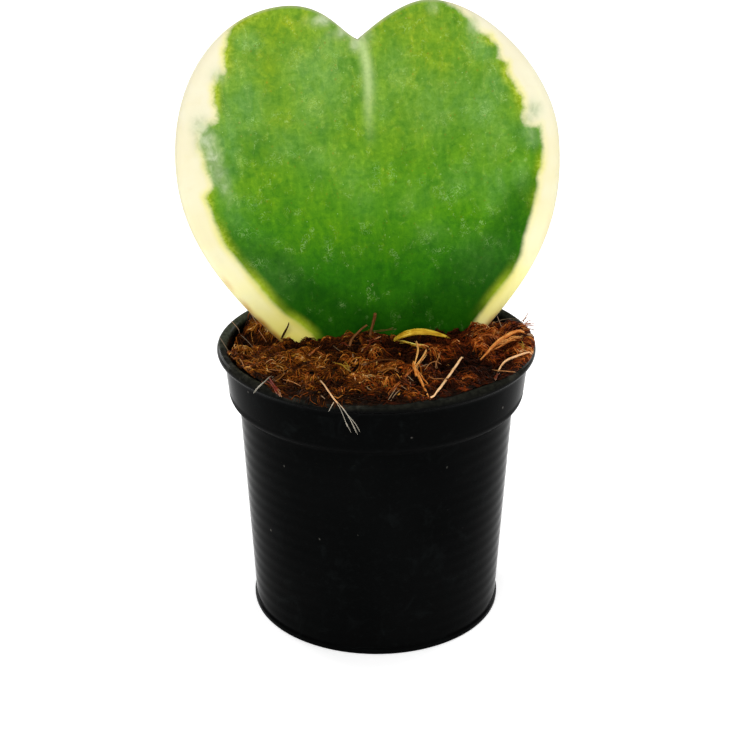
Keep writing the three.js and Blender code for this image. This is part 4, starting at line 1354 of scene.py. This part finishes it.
# Single fibres that stand out among the rest: tint, count, spread, width and points.
ACCENTS = (
    ("white", 1, 0, 0.26, ((4.4, -30.2, 0.9), (3.3, -34.1, 1), (2.4, -36.8, 0.8))),
    ("white", 1, 0, 0.24, ((5.1, -31.3, 0.8), (3.9, -34.2, 0.9), (3, -36.7, 0.6))),
    ("white", 1, 0, 0.24, ((6.8, -23.8, 1), (8.1, -26.9, 0.9))),
    ("white", 1, 0, 0.24, ((5.3, -29.3, 0.9), (6.8, -31.8, 0.8))),
    ("white", 1, 0, 0.24, ((7.4, -27.4, 0.9), (7.4, -30.5, 0.8))),
    (
        "straw", 2, 0.1, 0.24,
        ((14.7, -9.3, 0.5), (14.2, -13.3, 0.7), (13.6, -16.3, 0.8), (13.5, -19.7, 0.3)),
    ),
    (
        "straw", 1, 0, 0.26,
        ((10.9, -19.4, 0.3), (12.2, -16.8, 0.8), (13.6, -15.9, 0.9), (14.8, -16.4, 0.5)),
    ),
    ("white", 1, 0, 0.24, ((9.9, -18.1, 0.6), (11.8, -17.4, 0.9))),
    ("straw", 1, 0, 0.28, ((11.6, -23.2, 0.5), (12.8, -25.8, 1), (15.3, -25.1, 0.7))),
    (
        "orange", 3, 0.18, 0.3,
        ((23.7, -2.4, 0.7), (25.3, -2.1, 1.7), (27, -2, 1.9), (28.4, -3.1, 1.6), (29.3, -3.9, 0.9)),
    ),
    ("amber", 2, 0.12, 0.28, ((21.9, -0.7, 0.5), (23.6, 0.1, 1.3), (25.4, 2.2, 1.5), (27, 3.8, 1))),
    ("brown", 2, 0.1, 0.3, ((23.8, 1.2, 3.4), (23.4, 0.4, 2.3), (22.6, -0.8, 0.8))),
    (
        "straw", 1, 0, 0.28,
        ((26.3, -19.4, 0.4), (27.5, -20.9, 0.8), (29.1, -21.4, 0.9), (31.5, -21.2, 0.6)),
    ),
    ("rust", 3, 0.2, 0.32, ((27.6, -21.7, 0.8), (26.9, -23.9, 0.9), (26.3, -25.9, 0.7))),
    ("white", 1, 0, 0.24, ((29.9, 13.3, 0.6), (30.1, 10, 0.7), (30.5, 7, 0.3))),
    (
        "grey", 1, 0, 0.26,
        ((28.2, 8.4, 0.3), (29.5, 9.1, 0.8), (31.1, 9.9, 1), (33.2, 10.5, 1), (35.2, 11, 0.6)),
    ),
    ("orange", 4, 0.3, 0.3, ((34.2, 6.7, 0.6), (35.9, 6.5, 1.2), (38, 8.1, 1.5))),
    ("orange", 3, 0.25, 0.3, ((34.4, 5.7, 0.5), (36.3, 5.5, 1.1), (38.3, 5.9, 1.2))),
    ("amber", 2, 0.2, 0.28, ((34.8, 8, 0.6), (36, 8.4, 1.5), (36.9, 10.1, 2.3))),
    ("straw", 2, 0.2, 0.28, ((34.8, 4.6, 0.4), (36.7, 4.3, 0.8), (38, 3.5, 0.6))),
    ("white", 1, 0, 0.8, ((36.1, 0.8, 0.8), (36.8, 0.6, 0.8), (37.5, 0.3, 0.5))),
    ("gold", 3, 0.25, 0.3, ((34, -3.3, 0.8), (34.5, -6.8, 1), (35.2, -9.5, 0.6))),
    (
        "red", 4, 0.2, 0.56,
        ((-24.7, -24.9, 0.5), (-23.4, -28.3, 1), (-22.3, -31.6, 1), (-21.3, -33.3, 0.6)),
    ),
    ("straw", 1, 0, 0.3, ((-22.1, -31.8, 1.1), (-21.3, -33.6, 0.7), (-20.9, -34.5, 0.5))),
    ("amber", 2, 0.14, 0.28, ((-22.9, -28.5, 0.9), (-21.7, -26.1, 1), (-20.4, -21.1, 0.4))),
    ("straw", 1, 0, 0.2, ((-24.6, -19.1, 0.3), (-22.7, -20.4, 0.7), (-20.9, -19.8, 0.3))),
    ("brown", 2, 0.14, 0.3, ((-23.7, -26.2, 0.8), (-22.3, -24.4, 1), (-20.6, -20.7, 0.5))),
    ("straw", 1, 0, 0.28, ((-21.1, -25, 0.4), (-19, -27.3, 0.9), (-16.9, -29.2, 0.7))),
    (
        "gold", 3, 0.3, 0.28,
        ((-10.4, -12.6, -0.6), (-8.9, -16.2, 0.4), (-7.3, -18.7, 0.7), (-5.4, -21.2, 0.2)),
    ),
    ("gold", 2, 0.25, 0.28, ((-7.8, -11.7, -0.5), (-7, -16.9, 0.7), (-6.3, -20, 0.2))),
    ("gold", 2, 0.25, 0.26, ((-9.6, -15.4, -0.4), (-8, -17.3, 0.6), (-6.1, -19.4, 0.4))),
    (
        "white", 1, 0, 0.26,
        ((-35.6, 10.3, 0.6), (-34.4, 7.4, 0.6), (-33.4, 5.6, 0.1), (-33.2, 5.5, -0.9)),
    ),
    (
        "grey", 1, 0, 0.28,
        ((-37.7, 0.7, 0.4), (-36.1, -4.4, 0.5), (-34.9, -7.5, 0.1), (-34.5, -7.4, -0.8)),
    ),
    ("white", 1, 0, 0.26, ((-30.9, 13.9, 0.9), (-30, 11.5, 0.5), (-29.1, 10.5, -0.7))),
    ("grey", 1, 0, 0.26, ((-32.8, 4.8, -1), (-31, 0.5, -0.7), (-29.5, -1.6, -1.5))),
    ("straw", 1, 0, 0.26, ((-28.7, 7.1, -0.6), (-27.4, 3.3, -0.7), (-26.5, 2, -1.6))),
    ("straw", 1, 0, 0.28, ((-31.8, -12.7, 0.3), (-31, -15.3, 0.5), (-30.4, -17.5, 0.2))),
    ("dark", 2, 0.12, 0.66, ((-23.1, 3.4, -1.6), (-22.3, 3.2, 0), (-21.3, 2.8, 2), (-21, 2.6, 2.9))),
    ("gold", 2, 0.2, 0.32, ((-19, -6.2, -1.2), (-17.8, -6.7, -0.4), (-16.6, -3.8, -0.8))),
    ("orange", 3, 0.25, 0.36, ((-16.1, -8.4, -0.9), (-14.7, -6.9, -0.2), (-13.7, -3.2, -0.8))),
    ("straw", 1, 0, 0.28, ((-23.8, -9.3, -0.4), (-22.3, -10.3, 0), (-21, -9.1, -0.4))),
    ("olive", 2, 0.12, 0.3, ((-1.5, 0.4, 1.5), (0.9, 1.2, 1.6), (3.3, 1.4, 1.9), (5.2, 1.5, 2.4))),
    ("rust", 3, 0.2, 0.36, ((-8.9, -1.7, -0.9), (-8, -2.2, -0.2), (-6.7, -3.6, -0.5))),
    ("orange", 3, 0.25, 0.32, ((-14.8, -5.1, -1), (-13.5, -7.5, -0.3), (-12.3, -9.6, -0.8))),
    ("grey", 1, 0, 0.26, ((-10.3, -2.3, -0.8), (-9.3, -5.5, -0.3), (-8.6, -6, -0.7))),
    ("white", 1, 0, 0.26, ((-5.6, -9.3, 0.1), (-5.4, -12.7, 0.5), (-4.7, -14, 0.2))),
    (
        "amber", 3, 0.2, 0.34,
        ((0.7, -21.1, 0.4), (2.3, -20.3, 0.9), (3.7, -19.7, 0.9), (5.1, -20.2, 0.5)),
    ),
    (
        "brown", 3, 0.2, 0.34,
        ((-4.1, -16.6, 0.2), (-2, -16, 0.8), (0.8, -14.8, 0.9), (3.5, -14.5, 0.9), (6.1, -14.7, 0.4)),
    ),
    ("straw", 1, 0, 0.3, ((-0.6, -1.9, 0.6), (1.1, -0.8, 0.9))),
    ("olive", 2, 0.15, 0.3, ((1.1, -31.1, 0.8), (2, -29.9, 1.1), (2.6, -31.9, 0.9))),
    ("white", 1, 0, 0.3, ((-2.3, -29.7, 0.9), (-1.9, -31.5, 1.1), (-1.3, -32, 1))),
    ("amber", 2, 0.2, 0.32, ((-9.7, -34.5, 0.8), (-8.6, -35.8, 0.9), (-7.5, -33.8, 0.8))),
    ("white", 1, 0, 0.3, ((-12.3, -34.3, 0.7), (-11.4, -35.9, 0.7))),
    ("rust", 2, 0.2, 0.34, ((-2.7, -3.4, -0.1), (-1, -2.8, 0.7), (0.9, -1.2, 0.5))),
    ("rust", 2, 0.2, 0.34, ((-3.9, -8.1, 0.1), (-2, -7.1, 0.7), (-1, -2.9, 0.5))),
)


def through(points, steps):
    """A smooth line through points, evenly spaced, and its length: a Catmull-Rom curve."""
    points = np.asarray(points, float)
    padded = np.concatenate([[2 * points[0] - points[1]], points, [2 * points[-1] - points[-2]]])
    t = np.linspace(0, 1, CURVE_STEPS, endpoint=False)[:, None]
    pieces = [
        0.5 * (2 * b + (c - a) * t + (2 * a - 5 * b + 4 * c - d) * t**2 + (3 * b - a - 3 * c + d) * t**3)
        for a, b, c, d in zip(padded[:-3], padded[1:-2], padded[2:-1], padded[3:])
    ]
    line = np.concatenate([*pieces, points[-1:]]) + (0, 0, POT_HEIGHT)
    travelled = np.append(0, np.cumsum(np.linalg.norm(np.diff(line, axis=0), axis=1)))
    even = np.linspace(0, travelled[-1], steps)
    return np.stack([np.interp(even, travelled, column) for column in line.T], axis=-1), travelled[-1]


def shares(sequence, count):
    return np.interp(np.linspace(0, 1, count), np.linspace(0, 1, len(sequence)), sequence)[:, None]


def strip(widths, thicknesses, across, points, seed, hollow):
    """One irregular flattened tube: vertices, faces and how far along, around and how light."""
    random = np.random.default_rng(seed)
    steps = max(16, int(4 * sum(math.dist(a, b) for a, b in zip(points[:-1], points[1:]))))
    path, length = through(points, steps)
    tangent = np.gradient(path, axis=0)
    tangent /= np.linalg.norm(tangent, axis=1, keepdims=True)
    side = across - tangent * (tangent @ across)[:, None]
    side /= np.linalg.norm(side, axis=1, keepdims=True)
    lift = np.cross(tangent, side)
    share = np.linspace(0, 1, steps)
    level, upright = circle(1, STRIP_SIDES).T
    rough = 1 + 0.14 * Field(seed, 1.4).at(share[:, None] * length, 3 * level + 7)
    rough = rough + 0.05 * random.normal(size=(steps, STRIP_SIDES))
    wide = level * rough * shares(widths, steps) / 2
    high = upright * rough * shares(thicknesses, steps) / 2
    high = high - hollow * level**2 * shares(widths, steps) / max(widths)
    vertices = path[:, None] + side[:, None] * wide[..., None] + lift[:, None] * high[..., None]
    faces = turned(ring_faces(steps, STRIP_SIDES).tolist())
    faces.append(tuple(range(STRIP_SIDES)))
    faces.extend(turned([range((steps - 1) * STRIP_SIDES, steps * STRIP_SIDES)]))
    along = np.repeat(share * length, STRIP_SIDES)
    around = np.tile(level * 2 + upright, steps)
    return vertices.reshape(-1, 3), faces, along, around, np.full(len(along), 0.5)


def strands(count, spread, width, points, seed):
    """Fibres that run side by side along a line, parting a little towards its ends."""
    random = np.random.default_rng(seed)
    guide, length = through(points, RUN_STEPS)
    t = np.linspace(0, 1, RUN_STEPS)
    part = (0.6 + 0.9 * (2 * t - 1) ** 2)[:, None]
    offset = spread * random.normal(size=(count, 1, 3)) * part
    phase = random.random((count, 1, 3)) * 2 * np.pi
    turns = 1 + random.random((count, 1, 1))
    sway = 0.35 * spread * np.sin(2 * np.pi * t[:, None] * turns + phase)
    start, end = 0.18 * random.random((2, count, 1)) * (count > 1)
    at = (start + (1 - start - end) * t) * (RUN_STEPS - 1)
    paths = np.stack([np.interp(at, np.arange(RUN_STEPS), column) for column in guide.T], axis=-1)
    radii = width / 2 * (0.75 + 0.4 * random.random((count, 1))) * (1 - 0.6 * (2 * t - 1) ** 4)
    vertices, faces = tube_mesh(paths + offset + sway, radii, RUN_SIDES)
    along = np.tile(np.repeat(t * length, RUN_SIDES), count)
    around = np.tile(np.linspace(-1, 1, RUN_SIDES), count * RUN_STEPS)
    tone = np.repeat(0.25 + 0.5 * random.random(count), RUN_STEPS * RUN_SIDES)
    return vertices, faces, along, around, tone


def make_loose_bits():
    materials = {look: strand_material(look, *values) for look, values in LOOKS.items()}
    for number, (name, (slot, look, strips, runs)) in enumerate(LOOSE_BITS.items()):
        hollow = HUSK_HOLLOW if name == "husk_curl" else 0
        seed = STRIP_SEED + 7 * number
        parts = [strip(*row, seed + part, hollow) for part, row in enumerate(strips)]
        seed = RUN_SEED + 7 * number
        parts += [strands(*row, seed + part) for part, row in enumerate(runs)]
        vertices, faces, along, around, tone = joined(parts)
        uv = np.stack([along / along.max(), around / 6 + 0.5], axis=-1)
        fade = {
            "strand_front": smooth_step(1.2, -1.4, vertices[:, 2] - POT_HEIGHT),
            "strand_left": np.ones(len(along)),
        }.get(name, np.zeros(len(along)))
        attributes = {"along": along, "around": around, "tone": tone, "fade": fade}
        add_mesh(name + "_fine", vertices, faces, materials[look], [name], attributes, uv)


def make_accents():
    parts = []
    for number, (tint, count, spread, width, points) in enumerate(ACCENTS):
        slim = ACCENT_SLIMNESS * width
        vertices, faces, along, _, tone = strands(count, spread, slim, points, ACCENT_SEED + number)
        tip = smooth_step(0.8, 1.0, np.abs(2 * along / along.max() - 1)) * (tint != "dark")
        colour = np.tile(rgb(TINTS[tint])[:3], (len(along), 1))
        parts.append((vertices, faces, along, tip, colour, (number + 0.2 + 0.4 * tone) / len(ACCENTS)))
    vertices, faces, along, tip, colour, column = joined(parts)
    uv = np.stack([column, 0.05 + 0.9 * along / along.max()], axis=-1)
    attributes = {"tint": colour, "tip": tip}
    add_mesh("coir_accents", vertices, faces, accent_material(), ["soil"], attributes, uv)


# ---- stage and light ----

FLOOR_HALF = 3.0
WORLD_STRENGTH = 0.36
LIGHT_AIM = Vector((0, 0, 0.07))
# name, place, size and power of each lamp
LIGHTS = (
    ("key", (-0.35, -0.7, 0.95), 0.5, 3.4),
    ("front", (-0.1, -1.15, 0.4), 0.5, 3.2),
    ("top", (0.1, 0.1, 1.1), 0.8, 4.4),
    ("fill", (0.8, -0.5, 0.5), 0.6, 1.0),
    ("rim_left", (-0.6, 0.7, 0.3), 0.4, 4.0),
    ("rim_right", (0.65, 0.7, 0.3), 0.4, 3.0),
)


def make_stage():
    s = Shader("pale_floor")
    material = s.finished(
        Base_Color=(0.93, 0.93, 0.93, 1), Roughness=0.9, Specular_IOR_Level=0.1,
        Emission_Color=(1, 1, 1, 1), Emission_Strength=0.42,
    )
    mesh = bpy.data.meshes.new("floor")
    corners = [(x * FLOOR_HALF, y * FLOOR_HALF, 0) for x, y in ((-1, -1), (1, -1), (1, 1), (-1, 1))]
    mesh.from_pydata(corners, [], [(0, 1, 2, 3)])
    mesh.materials.append(material)
    floor = bpy.data.objects.new("floor", mesh)
    bpy.context.scene.collection.objects.link(floor)


def make_light():
    world = bpy.data.worlds.new("studio")
    world.use_nodes = True
    background = world.node_tree.nodes["Background"]
    background.inputs["Color"].default_value = (1, 1, 1, 1)
    background.inputs["Strength"].default_value = WORLD_STRENGTH
    bpy.context.scene.world = world
    bpy.context.scene.view_settings.view_transform = "Standard"
    for name, place, size, power in LIGHTS:
        data = bpy.data.lights.new(name, "AREA")
        data.shape = "DISK"
        data.size = size
        data.energy = power
        light = bpy.data.objects.new(name, data)
        light.location = place
        light.rotation_euler = (LIGHT_AIM - Vector(place)).to_track_quat("-Z", "Y").to_euler()
        bpy.context.scene.collection.objects.link(light)


make_pot()
make_blade()
make_soil()
coir = fibre_material()
make_fibres(coir)
make_crumbs(coir)
make_loose_bits()
make_accents()
make_stage()
make_light()
